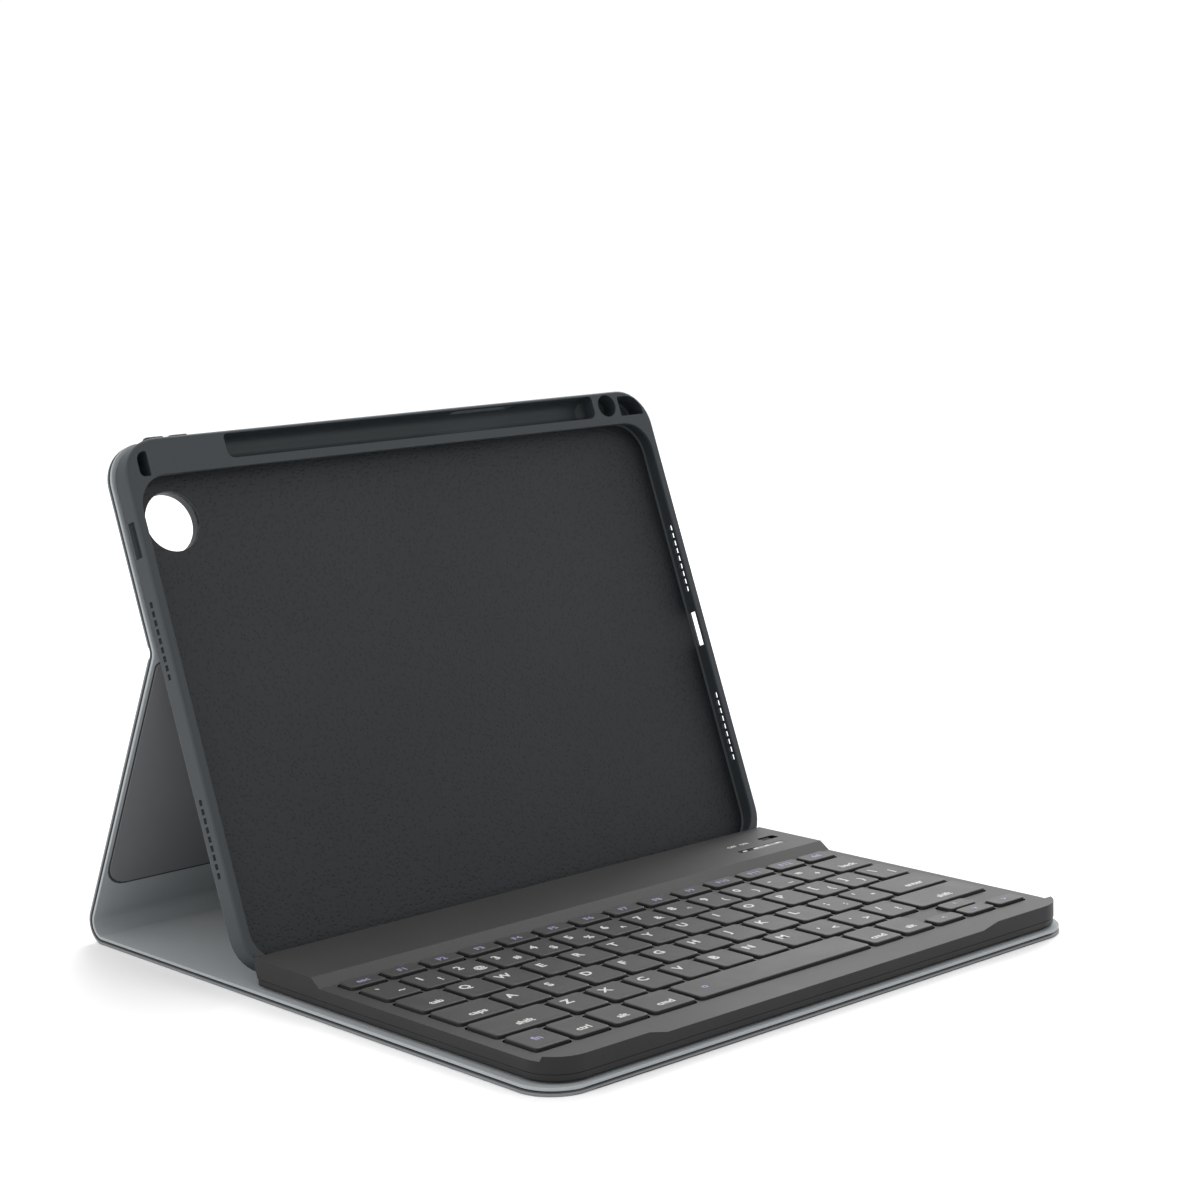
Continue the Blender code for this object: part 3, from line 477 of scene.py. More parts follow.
FOOT_RADIUS = 6.3 * MM
CREASE_RADIUS = 4.0 * MM
CREASE_TURN = LEG_ANGLE - TRAY_TILT
FOOT_TANGENT = FOOT_RADIUS * math.tan(LEG_ANGLE / 2)
CREASE_TANGENT = CREASE_RADIUS * math.tan(CREASE_TURN / 2)
RUNS = (
    (LEG_AXIS.y - FOOT_TANGENT - BASE_LOW.y, 0.0),
    (FOOT_RADIUS * LEG_ANGLE, LEG_ANGLE),
    (LEG_LENGTH - FOOT_TANGENT - CREASE_TANGENT, 0.0),
    (CREASE_RADIUS * CREASE_TURN, -CREASE_TURN),
    (UPPER_END - CREASE_TANGENT, 0.0),
)
RUN_STARTS = [sum(run[0] for run in RUNS[:index]) for index in range(len(RUNS) + 1)]
COVER_LENGTH = RUN_STARTS[-1]
SEAM_AT = RUN_STARTS[2] + 70 * MM
FOLD_AT = (RUN_STARTS[3] + RUN_STARTS[4]) / 2
FOLD_LINES = (-3.0, -2.2, -1.6, 1.6, 2.2, 3.0)  # the fold groove's sections, mm from the fold
HEM = (3.6 * MM, 3.95 * MM, 4.3 * MM)
HEM_DEPTH = 0.22 * MM
CREASE_DEPTH = 0.5 * MM
COVER_CORNER = 15 * MM
LINER_Y = (24 * MM, LEG_LENGTH - 3.2 * MM)  # the liner panel's reach along the leg
LINER_HALF_WIDTH = PANEL_HALF_WIDTH - 2.2 * MM
LINER_SHADOW_MARGIN = 0.7 * MM
CORNER_STEPS = 18
STATION_GAP = 0.04 * MM
SAME_PLACE = 1e-9
HALF_SECTION = 10  # points on each half of a section
SIDE_POINTS = range(3, 8)  # those of each half that the lighter edge band, a painted highlight, covers


def cover_place(s):
    """Where the cover's middle layer is after s metres from the front edge: y, z and heading."""
    y, z, heading = BASE_LOW.y, HALF_PANEL, 0.0
    for length, turn in RUNS:
        step = min(s, length)
        if turn == 0.0:
            y += step * math.cos(heading)
            z += step * math.sin(heading)
        else:
            radius = length / turn
            end = heading + turn * step / length
            y += radius * (math.sin(end) - math.sin(heading))
            z += radius * (math.cos(heading) - math.cos(end))
            heading = end
        s -= step
        if s <= 0:
            break
    return y, z, heading


def cover_stations(start, end, corner, edge):
    """The places along the cover at which its section is drawn."""
    places = set()
    for index, (length, turn) in enumerate(RUNS):
        wanted = abs(math.degrees(turn)) / 7 if turn else length / (9 * MM)
        pieces = max(2, round(wanted))
        for piece in range(pieces + 1):
            places.add(RUN_STARTS[index] + length * piece / pieces)
    for step in range(CORNER_STEPS + 1):
        rounding = corner * (1 - math.cos(math.pi / 2 * step / CORNER_STEPS))
        places.update((rounding, COVER_LENGTH - rounding))
    for small in (edge * 0.3, edge, *HEM):
        places.update((small, COVER_LENGTH - small))
    for offset in FOLD_LINES:
        places.add(FOLD_AT + offset * MM)
    places.update((start, end))
    kept = []
    for place in sorted(place for place in places if start <= place <= end):
        from_end = min(place, COVER_LENGTH - place)
        near_hem = any(abs(from_end - line) < SAME_PLACE for line in HEM)
        if kept and place - kept[-1] < STATION_GAP and not near_hem and place != end:
            continue
        kept.append(place)
    return kept


def cover_section(s, low, high, inset, edge, is_skin):
    """One section of a layer of the cover: (x, offset) points all round it."""
    ends = min(s, COVER_LENGTH - s)
    half = PANEL_HALF_WIDTH - inset
    if ends < COVER_CORNER:
        reach = COVER_CORNER ** 2 - (COVER_CORNER - ends) ** 2
        half -= COVER_CORNER - math.sqrt(max(reach, 0.0))
    shrink = 0.0
    if ends < edge:
        shrink = edge - math.sqrt(max(edge ** 2 - (edge - ends) ** 2, 0.0))
    low, high = low + shrink, high - shrink
    edge = max(edge - shrink, HAIR)
    across_hem = is_skin and abs(ends - HEM[1]) < SAME_PLACE
    if is_skin:
        fold = abs(s - FOLD_AT)
        low += CREASE_DEPTH * min(max((3.0 * MM - fold) / (0.8 * MM), 0.0), 1.0)
    flat = low + (HEM_DEPTH if across_hem else 0.0)
    groove = low + (HEM_DEPTH if is_skin and ends >= HEM[1] - SAME_PLACE else 0.0)
    right = [(half - HEM[2], flat), (half - HEM[1], groove), (half - HEM[0], low),
             (half - edge, low), (half - edge * 0.3, low + edge * 0.3), (half, low + edge),
             (half, high - edge), (half - edge * 0.3, high - edge * 0.3), (half - edge, high),
             (half - HEM[2], high)]
    return right + [(-x, n) for x, n in reversed(right)]


def cover_layer(bm, start, end, low, high, inset, edge, is_skin, material, side_material):
    """Draw one layer of the cover between two places as a closed body."""
    uv = bm.loops.layers.uv.verify()
    rings = []
    for s in cover_stations(start, end, COVER_CORNER, edge):
        y, z, heading = cover_place(s)
        ring = []
        for x, n in cover_section(s, low, high, inset, edge, is_skin):
            vert = bm.verts.new((x, y - n * math.sin(heading), z + n * math.cos(heading)))
            ring.append((vert, s, n))
        rings.append(ring)
    count = len(rings[0])
    for first, second in zip(rings, rings[1:]):
        for index in range(count):
            after = (index + 1) % count
            corners = (first[after], first[index], second[index], second[after])
            face = bm.faces.new([corner[0] for corner in corners])
            # Faces of the edge band take the side material, which on the skin is a painted
            # highlight
            on_side = index % HALF_SECTION in SIDE_POINTS
            face.material_index = side_material if on_side else material
            for loop, corner in zip(face.loops, corners):
                loop[uv].uv = (corner[0].co.x + (corner[2] if on_side else 0), corner[1])
    for ring, flip in ((rings[0], False), (rings[-1], True)):
        verts = [corner[0] for corner in ring]
        face = bm.faces.new(list(reversed(verts)) if flip else verts)
        face.material_index = side_material
    bmesh.ops.recalc_face_normals(bm, faces=bm.faces)


def cover_piece(name, start, end):
    """Skin and lining of one stretch of the cover."""
    bm = bmesh.new()
    cover_layer(bm, start, end, -HALF_PANEL, 0.05 * MM, 0.0, 0.45 * MM, True, 0, 2)
    cover_layer(bm, start, end, 0.25 * MM, HALF_PANEL, 0.15 * MM, 0.4 * MM, False, 1, 1)
    return soften(mesh_object(name, bm, [COVER_CLOTH, LINING, COVER_EDGE_HIGHLIGHT]), 40)


def make_cover():
    """The folio cover in two stretches that meet near the leg's middle, each over one hinge."""
    lower = cover_piece("folio_cover_base_and_leg", 0.0, SEAM_AT)
    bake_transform(lower)
    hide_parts("base_skin", "base_board", "base_lining", "base_magnet_left",
                "base_magnet_right", "spine_skin", "spine_lining")
    upper = cover_piece("folio_cover_leg_and_back", SEAM_AT, COVER_LENGTH)
    camera = cylinder_object("camera_cutter", CAMERA_AT, (-5 * MM, 5 * MM),
                             CAMERA_RADIUS + 1.2 * MM, [COVER_EDGE_HIGHLIGHT], 64)
    camera.data.transform(TRAY_MATRIX)
    bake(upper, [camera])
    soften(upper, 40)
    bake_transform(upper)
    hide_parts("leg_skin", "leg_board", "leg_lining", "upper_skin", "upper_board")

    low_y, high_y = LINER_Y
    radii = (9 * MM, 2 * MM, 2 * MM, 9 * MM)
    half = LINER_HALF_WIDTH
    # The dark sheet round the liner panel is painted shadow at the panel's edge
    outline = pad("leg_liner_painted_shadow", (-half - LINER_SHADOW_MARGIN, half + LINER_SHADOW_MARGIN),
                  (low_y - LINER_SHADOW_MARGIN, high_y + 0.5 * MM),
                  (HALF_PANEL - 0.1 * MM, HALF_PANEL + 0.08 * MM), radii, (HAIR, 0.05 * MM),
                  [LINER_SHADOW], LEG_MATRIX)
    panel = pad("leg_liner_panel", (-half, half), (low_y, high_y),
                (HALF_PANEL - 0.1 * MM, HALF_PANEL + 0.24 * MM), radii, (HAIR, 0.2 * MM),
                [LINER_PANEL], LEG_MATRIX)
    for piece in (outline, panel):
        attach(piece, "leg")


# ---------------------------------------------------------------- tray

def tray_cutters():
    """Everything that is cut out of the tray, in the tray's own frame."""
    cutters = []

    def add(name, x, y, z, radii, floor_edge=HAIR):
        bm = bmesh.new()
        add_pad(bm, x, y, z, radii, (floor_edge, HAIR), 0, 5, 3)
        cutters.append(mesh_object(name, bm, [TRAY_SKIN]))

    above = TRAY_Z[1] + MM
    add("trough", TROUGH_X, TROUGH_Y, (3.0 * MM, above), (3 * MM, 1.5 * MM, 1.5 * MM, 3 * MM),
        3.4 * MM)
    add("corner_pocket_right", (109.7 * MM, 121.8 * MM), (63.9 * MM, 72.1 * MM), (3.2 * MM, above),
        (0.6 * MM, 7.4 * MM, 0.9 * MM, 0.7 * MM), 1.2 * MM)
    add("corner_pocket_left", (-119.8 * MM, -115.4 * MM), (60.8 * MM, 70.0 * MM),
        (3.2 * MM, above), (0.8 * MM, 0.8 * MM, 3.4 * MM, 2.0 * MM), 1.0 * MM)
    add("trough_window", (27 * MM, 56 * MM), (TROUGH_Y[1] - 2.5 * MM, TRAY_Y[1] + MM),
        (5.8 * MM, 9.3 * MM), 0.2 * MM)
    middle = WALL_MIDDLE_Z
    for side in (-1, 1):
        wall = sorted((side * (POCKET_X - MM), side * (TRAY_X + MM)))
        for first in SPEAKER_ROWS:
            for step in range(SPEAKER_COUNT):
                low = TRAY_Y[0] + first + step * SPEAKER_PITCH
                add("speaker_slot", wall, (low, low + SPEAKER_LENGTH),
                    grown((middle, middle), 0.9 * MM), 0.05 * MM)
    middle_y = sum(POCKET_Y) / 2
    add("port_cut", (POCKET_X - MM, TRAY_X + MM), grown((middle_y, middle_y), 7 * MM),
        grown((middle, middle), 2.5 * MM), 0.05 * MM)
    add("power_cut", (-TRAY_X - MM, -POCKET_X + MM),
        (POCKET_Y[1] - 30 * MM, POCKET_Y[1] - 17 * MM), grown((middle, middle), 2 * MM),
        0.05 * MM)
    for name in ("volume_up_cover", "volume_down_cover"):
        low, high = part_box(name)
        z_middle = sum(TRAY_Z) / 2
        add("volume_cut", grown((low.x, high.x), 0.35 * MM),
            (TRAY_Y[1] - 1.2 * MM, TRAY_Y[1] + MM), grown((z_middle, z_middle), 2.0 * MM),
            0.05 * MM)
    cutters.append(cylinder_object("cap_pocket", (103.2 * MM, 68.7 * MM), (4.5 * MM, above),
                                   4.6 * MM, [TRAY_SKIN], 40))
    cutters.append(cylinder_object("camera_hole", CAMERA_AT, (0, 5 * MM), CAMERA_RADIUS,
                                   [TRAY_SKIN], 64))
    return cutters


def make_tray():
    """Soft moulded tray: rounded outer shell, lip round the screen, pocket and trough."""
    bm = bmesh.new()
    outer_x = (-TRAY_X, TRAY_X)
    loops = fillet(outer_x, TRAY_Y, SHELL_RADIUS, TRAY_Z[0], 2.2 * MM, False, 4, 10)
    loops += fillet(outer_x, TRAY_Y, SHELL_RADIUS, TRAY_Z[1], 1.3 * MM, True, 4, 10)
    opening_x, pocket_x = (-OPENING_X, OPENING_X), (-POCKET_X, POCKET_X)
    lip = 0.5 * MM
    for step in range(4):
        angle = math.pi / 2 * step / 3
        points = inset_loop(opening_x, OPENING_Y, OPENING_RADIUS,
                            -lip * (1 - math.sin(angle)), 10)
        loops.append((points, TRAY_Z[1] - lip * (1 - math.cos(angle))))
    loops.append((inset_loop(opening_x, OPENING_Y, OPENING_RADIUS, 0, 10), POCKET_Z[1]))
    for inset, height in ((0, POCKET_Z[1] - 0.4 * MM), (0, POCKET_Z[0] + 0.6 * MM),
                          (0.6 * MM, POCKET_Z[0])):
        loops.append((inset_loop(pocket_x, POCKET_Y, POCKET_RADIUS, inset, 10), height))
    add_stack(bm, loops, 0, 1)
    tray = mesh_object("tablet_tray_shell", bm, [TRAY_SKIN, TRAY_FLOOR])
    bake(tray, tray_cutters())
    bake(tray, (), 0.22 * MM)
    tray.data.transform(TRAY_MATRIX)
    soften(tray, 38)
    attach(tray, "upper")
    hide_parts("tablet_tray")

    bm = bmesh.new()
    ring = [(CAMERA_RADIUS, 3.2 * MM), (CAMERA_RADIUS, -1.5 * MM),
            (CAMERA_RADIUS + 0.3 * MM, -1.8 * MM), (CAMERA_RADIUS + 0.8 * MM, -1.8 * MM),
            (CAMERA_RADIUS + 1.05 * MM, -1.55 * MM), (CAMERA_RADIUS + 1.05 * MM, 3.2 * MM)]
    turn_profile(bm, ring, CAMERA_AT)
    rim = soften(mesh_object("camera_window_rim", bm, [TRAY_SKIN], TRAY_MATRIX), 50)
    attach(rim, "upper")

    for name, sign in (("volume_up_cover", "+"), ("volume_down_cover", "-")):
        make_volume_cover(name, sign)


def turn_profile(bm, profile, centre, segments=64):
    """Turn a closed outline of (radius, z) points about an upright line."""
    rings = []
    for step in range(segments):
        angle = 2 * math.pi * step / segments
        rings.append([bm.verts.new((centre[0] + radius * math.cos(angle),
                                    centre[1] + radius * math.sin(angle), z))
                      for radius, z in profile])
    count = len(profile)
    for step in range(segments):
        first, second = rings[step], rings[(step + 1) % segments]
        for index in range(count):
            after = (index + 1) % count
            bm.faces.new((first[index], first[after], second[after], second[index]))
    bmesh.ops.recalc_face_normals(bm, faces=bm.faces)


def make_volume_cover(name, sign):
    """A rounded bump that stands proud of the tray's top edge, with its raised sign."""
    low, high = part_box(name)
    x = (low.x, high.x)
    z_middle = sum(TRAY_Z) / 2
    bm = bmesh.new()
    lift = Matrix.Rotation(-math.pi / 2, 4, "X")
    add_pad(bm, x, (-z_middle - 1.65 * MM, -z_middle + 1.65 * MM),
            (TRAY_Y[1] - 11 * MM, TRAY_Y[1] + 1.1 * MM), 1.4 * MM, (0.1 * MM, 0.6 * MM), 0, 5, 4)
    middle = (x[0] + x[1]) / 2
    bars = [(1.3 * MM, 0.25 * MM)]
    if sign == "+":
        bars.append((0.25 * MM, 1.0 * MM))
    for half_x, half_y in bars:
        add_pad(bm, grown((middle, middle), half_x), grown((-z_middle, -z_middle), half_y),
                (TRAY_Y[1] + 0.9 * MM, TRAY_Y[1] + 1.2 * MM), 0.1 * MM, (HAIR, 0.05 * MM),
                0, 2, 1)
    obj = soften(mesh_object(name + "_bump", bm, [TRAY_SKIN], TRAY_MATRIX @ lift), 50)
    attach(obj, name.replace("_cover", ""))
    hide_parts(name)


# ---------------------------------------------------------------- keyboard

# Each key: node, width in units, main legend, second legend
FUNCTION_KEYS = [("escape_key", FUNCTION_UNIT, "", "esc")]
FUNCTION_KEYS += [("function_keys", FUNCTION_UNIT, "", "F%d" % number) for number in range(1, 13)]
FUNCTION_KEYS += [("function_keys", FUNCTION_UNIT, "", "del")]


def letter_keys(node, pairs):
    """Keys of one unit. Each pair is a main and a second legend, or a main one alone."""
    return [(node, 1.0, pair[0], pair[1:]) for pair in pairs]


KEY_ROWS = [
    letter_keys("number_keys", ["`~", "1!", "2@", "3#", "4$", "5%", "6^", "7&", "8*", "9(", "0)",
                                "-_", "=+"]) + [("backspace_key", 1.25, "back", "")],
    [("tab_key", 1.25, "tab", "")] + letter_keys(
        "upper_letter_keys", ["Q", "W", "E", "R", "T", "Y", "U", "I", "O", "P", "[{", "]}", "\\|"]),
    [("caps_lock_key", 1.5, "caps", "")] + letter_keys(
        "home_letter_keys", ["A", "S", "D", "F", "G", "H", "J", "K", "L", ";:", "'\""])
    + [("enter_key", 1.75, "enter", "")],
    [("left_shift_key", 2.0, "shift", "")] + letter_keys(
        "lower_letter_keys", ["Z", "X", "C", "V", "B", "N", "M", ",<", ".>", "/?"])
    + [("right_shift_key", 2.25, "shift", "")],
]
BOTTOM_KEYS = [
    ("function_lock_key", 1.0, "", "fn"),
    ("control_key", 1.0, "ctrl", ""),
    ("left_option_key", 1.0, "alt", ""),
    ("left_command_key", 1.25, "cmd", ""),
    ("space_bar", 5.0, "", "o"),
    ("right_command_key", 1.0, "cmd", ""),
    ("right_option_key", 1.0, "alt", ""),
    ("arrow_left_key", 1.0, "", "<"),
    ("arrow_up_key", 1.0, "", "^"),
    ("arrow_right_key", 1.0, "", ">"),
]


def key_layout():
    """Each node's keys as (x pair, y pair, main legend, second legend)."""
    rows = [(FUNCTION_KEYS, (FUNCTION_ROW_Y1 - FUNCTION_DEPTH, FUNCTION_ROW_Y1))]
    for index, row in enumerate(KEY_ROWS + [BOTTOM_KEYS]):
        high = FIRST_ROW_Y1 - index * ROW_PITCH
        rows.append((row, (high - ROW_DEPTH, high)))
    layout = {}
    for row, y in rows:
        left = -ROW_UNITS * KEY_UNIT / 2
        for node, units, main, second in row:
            right = left + units * KEY_UNIT
            x = (left + KEY_GAP / 2, right - KEY_GAP / 2)
            layout.setdefault(node, []).append((x, y, main, second))
            left = right
    x, y, _, _ = layout["arrow_up_key"][0]
    middle = sum(y) / 2
    front, behind = (y[0], middle - KEY_GAP / 4), (middle + KEY_GAP / 4, y[1])
    layout["arrow_up_key"] = [(x, behind, "", "^")]
    layout["arrow_down_key"] = [(x, front, "", "v")]
    for node in ("arrow_left_key", "arrow_right_key"):
        x, _, main, second = layout[node][0]
        layout[node] = [(x, front, main, second)]
    return layout


def add_cap(bm, x, y):
    """One key cap: drafted sides, rounded rim and a shallow dish."""
    radius, rim, draft = 1.7 * MM, 0.5 * MM, 0.18 * MM
    loops = [(inset_loop(x, y, radius, 0.05 * MM, 4), KEY_LOW_Z),
             (inset_loop(x, y, radius, 0.0, 4), KEY_LOW_Z + 0.1 * MM)]
    for step in range(4):
        angle = math.pi / 2 * step / 3
        inset = draft + rim * (1 - math.cos(angle))
        height = KEY_TOP_Z - rim * (1 - math.sin(angle))
        loops.append((inset_loop(x, y, radius, inset, 4), height))
    loops.append((inset_loop(x, y, radius + 0.6 * MM, 1.9 * MM, 4), KEY_TOP_Z - 0.09 * MM))
    loops.append((inset_loop(x, y, radius + 1.4 * MM, 3.2 * MM, 4), KEY_TOP_Z - 0.13 * MM))
    # Faces that don't face up take the darker side colour: painted shade on the caps' sides
    for face in add_stack(bm, loops):
        face.normal_update()
        if face.normal.z < 0.3:
            face.material_index = 1


def legend_mesh(text, size):
    """The outline of a legend as a thin solid, centred on the origin."""
    curve = bpy.data.curves.new("legend", "FONT")
    curve.body = text
    curve.size = size
    curve.align_x = "CENTER"
    curve.align_y = "CENTER"
    curve.resolution_u = 2
    curve.extrude = 0.03 * MM
    curve.offset = size * LEGEND_WEIGHT
    obj = bpy.data.objects.new("legend", curve)
    bpy.context.scene.collection.objects.link(obj)
    bpy.context.view_layer.update()
    evaluated = obj.evaluated_get(bpy.context.evaluated_depsgraph_get())
    mesh = bpy.data.meshes.new_from_object(evaluated)
    bpy.data.objects.remove(obj, do_unlink=True)
    bpy.data.curves.remove(curve)
    return mesh


def add_legend(bm, text, size, place, material):
    """Put a legend into bm, at place, in one of the object's materials."""
    mesh = legend_mesh(text, size)
    mesh.transform(Matrix.Translation(place))
    start = len(bm.faces)
    bm.from_mesh(mesh)
    bm.faces.ensure_lookup_table()
    for face in bm.faces[start:]:
        face.material_index = material
    bpy.data.meshes.remove(mesh)


def make_keys(layout):
    """Caps and legends for each key node."""
    for node, keys in layout.items():
        bm = bmesh.new()
        for x, y, _, _ in keys:
            add_cap(bm, x, y)
        caps = soften(mesh_object(node + "_caps", bm, [KEY_PLASTIC, KEY_SIDE_SHADE]), 45)
        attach(caps, node)
        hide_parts(node)
        bm = bmesh.new()
        for x, y, main, second in keys:
            middle = Vector((sum(x) / 2, sum(y) / 2, KEY_TOP_Z - 0.10 * MM))
            small = y[1] - y[0] < 10 * MM
            if len(main) > 1:
                add_legend(bm, main, WORD_SIZE, middle + Vector((0, -3.0 * MM, 0.02 * MM)), 0)
            elif main:
                shift = (-2.6 * MM, 2.2 * MM, 0) if second else (-2.2 * MM, 2.4 * MM, 0)
                add_legend(bm, main, LETTER_SIZE, middle + Vector(shift), 0)
            if second:
                at = (0, 0, 0) if small or not main else (2.6 * MM, -2.6 * MM, 0)
                if node == "space_bar":
                    at = (x[0] - middle.x + 9 * MM, 0, 0)
                size = SMALL_SIZE if small else SECOND_SIZE
                lilac = small or not main
                add_legend(bm, second, size, middle + Vector(at), 1 if lilac else 0)
        legends = mesh_object(node + "_legends", bm, [LEGEND, LEGEND_SECOND])
        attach(legends, node)


def deck_cutters(x):
    """The deck, the thumb notch and the rear slope, as cutters."""
    beyond = LEDGE_Z + MM
    slope = STEP_RUN / (LEDGE_Z - DECK_Z)
    deck = [(LEDGE_FRONT_Y + slope * (beyond - DECK_Z), beyond), (LEDGE_FRONT_Y, DECK_Z),
            (PAD_Y + 0.8 * MM, DECK_Z), (PAD_Y, PAD_Z), (CASE_Y0 - MM, PAD_Z),
            (CASE_Y0 - MM, beyond)]
    notch = [(-86 * MM, PAD_Z + 0.5 * MM), (-76 * MM, DECK_Z), (76 * MM, DECK_Z),
             (86 * MM, PAD_Z + 0.5 * MM)]
    lean = math.tan(math.pi / 2 - TRAY_TILT)
    rear = [(LEDGE_REAR_Y - lean * (LEDGE_Z - SPLIT_Z + MM), SPLIT_Z - MM),
            (LEDGE_REAR_Y + MM, SPLIT_Z - MM), (LEDGE_REAR_Y + MM, beyond),
            (LEDGE_REAR_Y + lean * MM, beyond)]
    return [prism_object("deck_cut", deck, "X", grown(x, MM), [DECK_PLASTIC]),
            prism_object("notch_cut", notch, "Y", (CASE_Y0 - MM, PAD_Y + 0.8 * MM),
                         [DECK_PLASTIC]),
            prism_object("rear_cut", rear, "X", grown(x, MM), [DECK_PLASTIC])]


def make_deck(layout):
    """The keyboard's upper shell, with its ledge, raised front corners and key wells."""
    x = (-CASE_X, CASE_X)
    bm = bmesh.new()
    corners = (CASE_RADIUS, HAIR, HAIR, CASE_RADIUS)
    loops = [(inset_loop(x, (CASE_Y0, LEDGE_REAR_Y), corners, 0, 8), SPLIT_Z),
             (inset_loop(x, (CASE_Y0, LEDGE_REAR_Y), corners, 0, 8), LEDGE_Z)]
    add_stack(bm, loops)
    deck = mesh_object("keyboard_deck", bm, [DECK_PLASTIC, CASE_DARK_AND_SIDE_SHADE, KEY_WELL_SHADE])
    bake(deck, deck_cutters(x))
    bake(deck, (), 0.45 * MM)
    # Upright faces of the deck take the near-black colour: painted shade on its sides
    for face in deck.data.polygons:
        if abs(face.normal.z) < 0.35:
            face.material_index = 1

    bm = bmesh.new()
    holes = [(grown(key_x, WELL_CLEARANCE), grown(key_y, WELL_CLEARANCE))
             for keys in layout.values() for key_x, key_y, _, _ in keys]
    merged = []
    for hole_x, hole_y in holes:
        for index, (other_x, other_y) in enumerate(merged):
            touching = (hole_y[0] < other_y[1] + WELL_TOUCH
                        and other_y[0] < hole_y[1] + WELL_TOUCH)
            if abs(hole_x[0] - other_x[0]) < WELL_TOUCH and touching:
                joined = (min(hole_y[0], other_y[0]), max(hole_y[1], other_y[1]))
                merged[index] = (hole_x, joined)
                break
        else:
            merged.append((hole_x, hole_y))
    for hole_x, hole_y in merged:
        rim = inset_loop(hole_x, hole_y, WELL_RADIUS, 0, 3)
        add_stack(bm, [(rim, WELL_FLOOR_Z), (rim, DECK_Z + 5 * MM)])
    # The wells' walls and floors take the near-black cutter colour: painted shade
    wells = mesh_object("well_cutter", bm, [KEY_WELL_SHADE])
    cutters = [wells] + ledge_cutters()
    bake(deck, cutters)
    soften(deck, 30)
    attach(deck, "keyboard")
    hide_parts("keyboard_top_case")


def ledge_cutters():
    """The holes of the ledge: switch slot, indicator strip and charging port."""
    cutters = []
    switch_low, switch_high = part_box("power_switch")
    bm = bmesh.new()
    add_pad(bm, (switch_low.x - 0.6 * MM, switch_high.x + 3.1 * MM),
            grown((switch_low.y, switch_high.y), 0.5 * MM), (10.4 * MM, LEDGE_Z + MM), 0.8 * MM,
            (HAIR, HAIR), 0, 4, 1)
    cutters.append(mesh_object("switch_slot", bm, [KEY_WELL_SHADE]))
    window_low, window_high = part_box("indicator_window")
    bm = bmesh.new()
    add_pad(bm, grown((window_low.x, window_high.x), 0.15 * MM),
            grown((window_low.y, window_high.y), 0.15 * MM), (10.9 * MM, LEDGE_Z + MM), 0.6 * MM,
            (HAIR, HAIR), 0, 4, 1)
    cutters.append(mesh_object("window_slot", bm, [KEY_WELL_SHADE]))
    socket_low, socket_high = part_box("charging_socket")
    bm = bmesh.new()
    turned = Matrix.Rotation(math.pi / 2, 4, "Y")
    add_pad(bm, (-11.4 * MM, -7.6 * MM), grown((socket_low.y, socket_high.y), 0.2 * MM),
            (socket_low.x - 0.3 * MM, CASE_X + MM), 1.6 * MM, (HAIR, HAIR), 0, 6, 1)
    cutters.append(mesh_object("port_cutter", bm, [KEY_WELL_SHADE], turned))
    return cutters


def make_ledge_details():
    """Switch knob, indicator strip with its marks, and printed marks beside the switch."""
    low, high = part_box("power_switch")
    bm = bmesh.new()
    add_pad(bm, (low.x, high.x), (low.y, high.y), (low.z, LEDGE_Z - 0.35 * MM), 0.6 * MM,
            (0.05 * MM, 0.25 * MM), 0, 4, 2)
    for step in range(4):
        middle = low.x + (step + 1) * (high.x - low.x) / 5
        add_pad(bm, grown((middle, middle), 0.22 * MM), grown((low.y, high.y), -0.3 * MM),
                (LEDGE_Z - 0.6 * MM, LEDGE_Z - 0.12 * MM), 0.15 * MM, (HAIR, 0.12 * MM),
                0, 2, 2)
    knob = soften(mesh_object("power_switch_knob", bm, [KEY_PLASTIC]), 50)
    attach(knob, "switch")
    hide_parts("power_switch")

    low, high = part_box("indicator_window")
    bm = bmesh.new()
    add_pad(bm, (low.x, high.x), (low.y, high.y), (11.0 * MM, LEDGE_Z - 0.08 * MM), 0.5 * MM,
            (0.05 * MM, 0.10 * MM), 0, 4, 2)
    for step in range(4):
        middle = low.x + (2 * step + 1) * (high.x - low.x) / 8
        add_pad(bm, grown((middle, middle), 1.1 * MM), grown((low.y, high.y), -0.65 * MM),
                (LEDGE_Z - 0.2 * MM, LEDGE_Z - 0.03 * MM), 0.5 * MM, (HAIR, 0.03 * MM),
                1, 4, 1)
    strip = soften(mesh_object("indicator_strip", bm, [WINDOW, LEGEND]), 50)
    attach(strip, "keyboard")
    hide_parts("indicator_window")

    bm = bmesh.new()
    low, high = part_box("power_switch")
    place = (low.x - 13 * MM, (low.y + high.y) / 2, LEDGE_Z + 0.01 * MM)
    add_legend(bm, "OFF   ON", LEDGE_MARK_SIZE, place, 0)
    marks = mesh_object("ledge_marks", bm, [LEGEND])
    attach(marks, "keyboard")


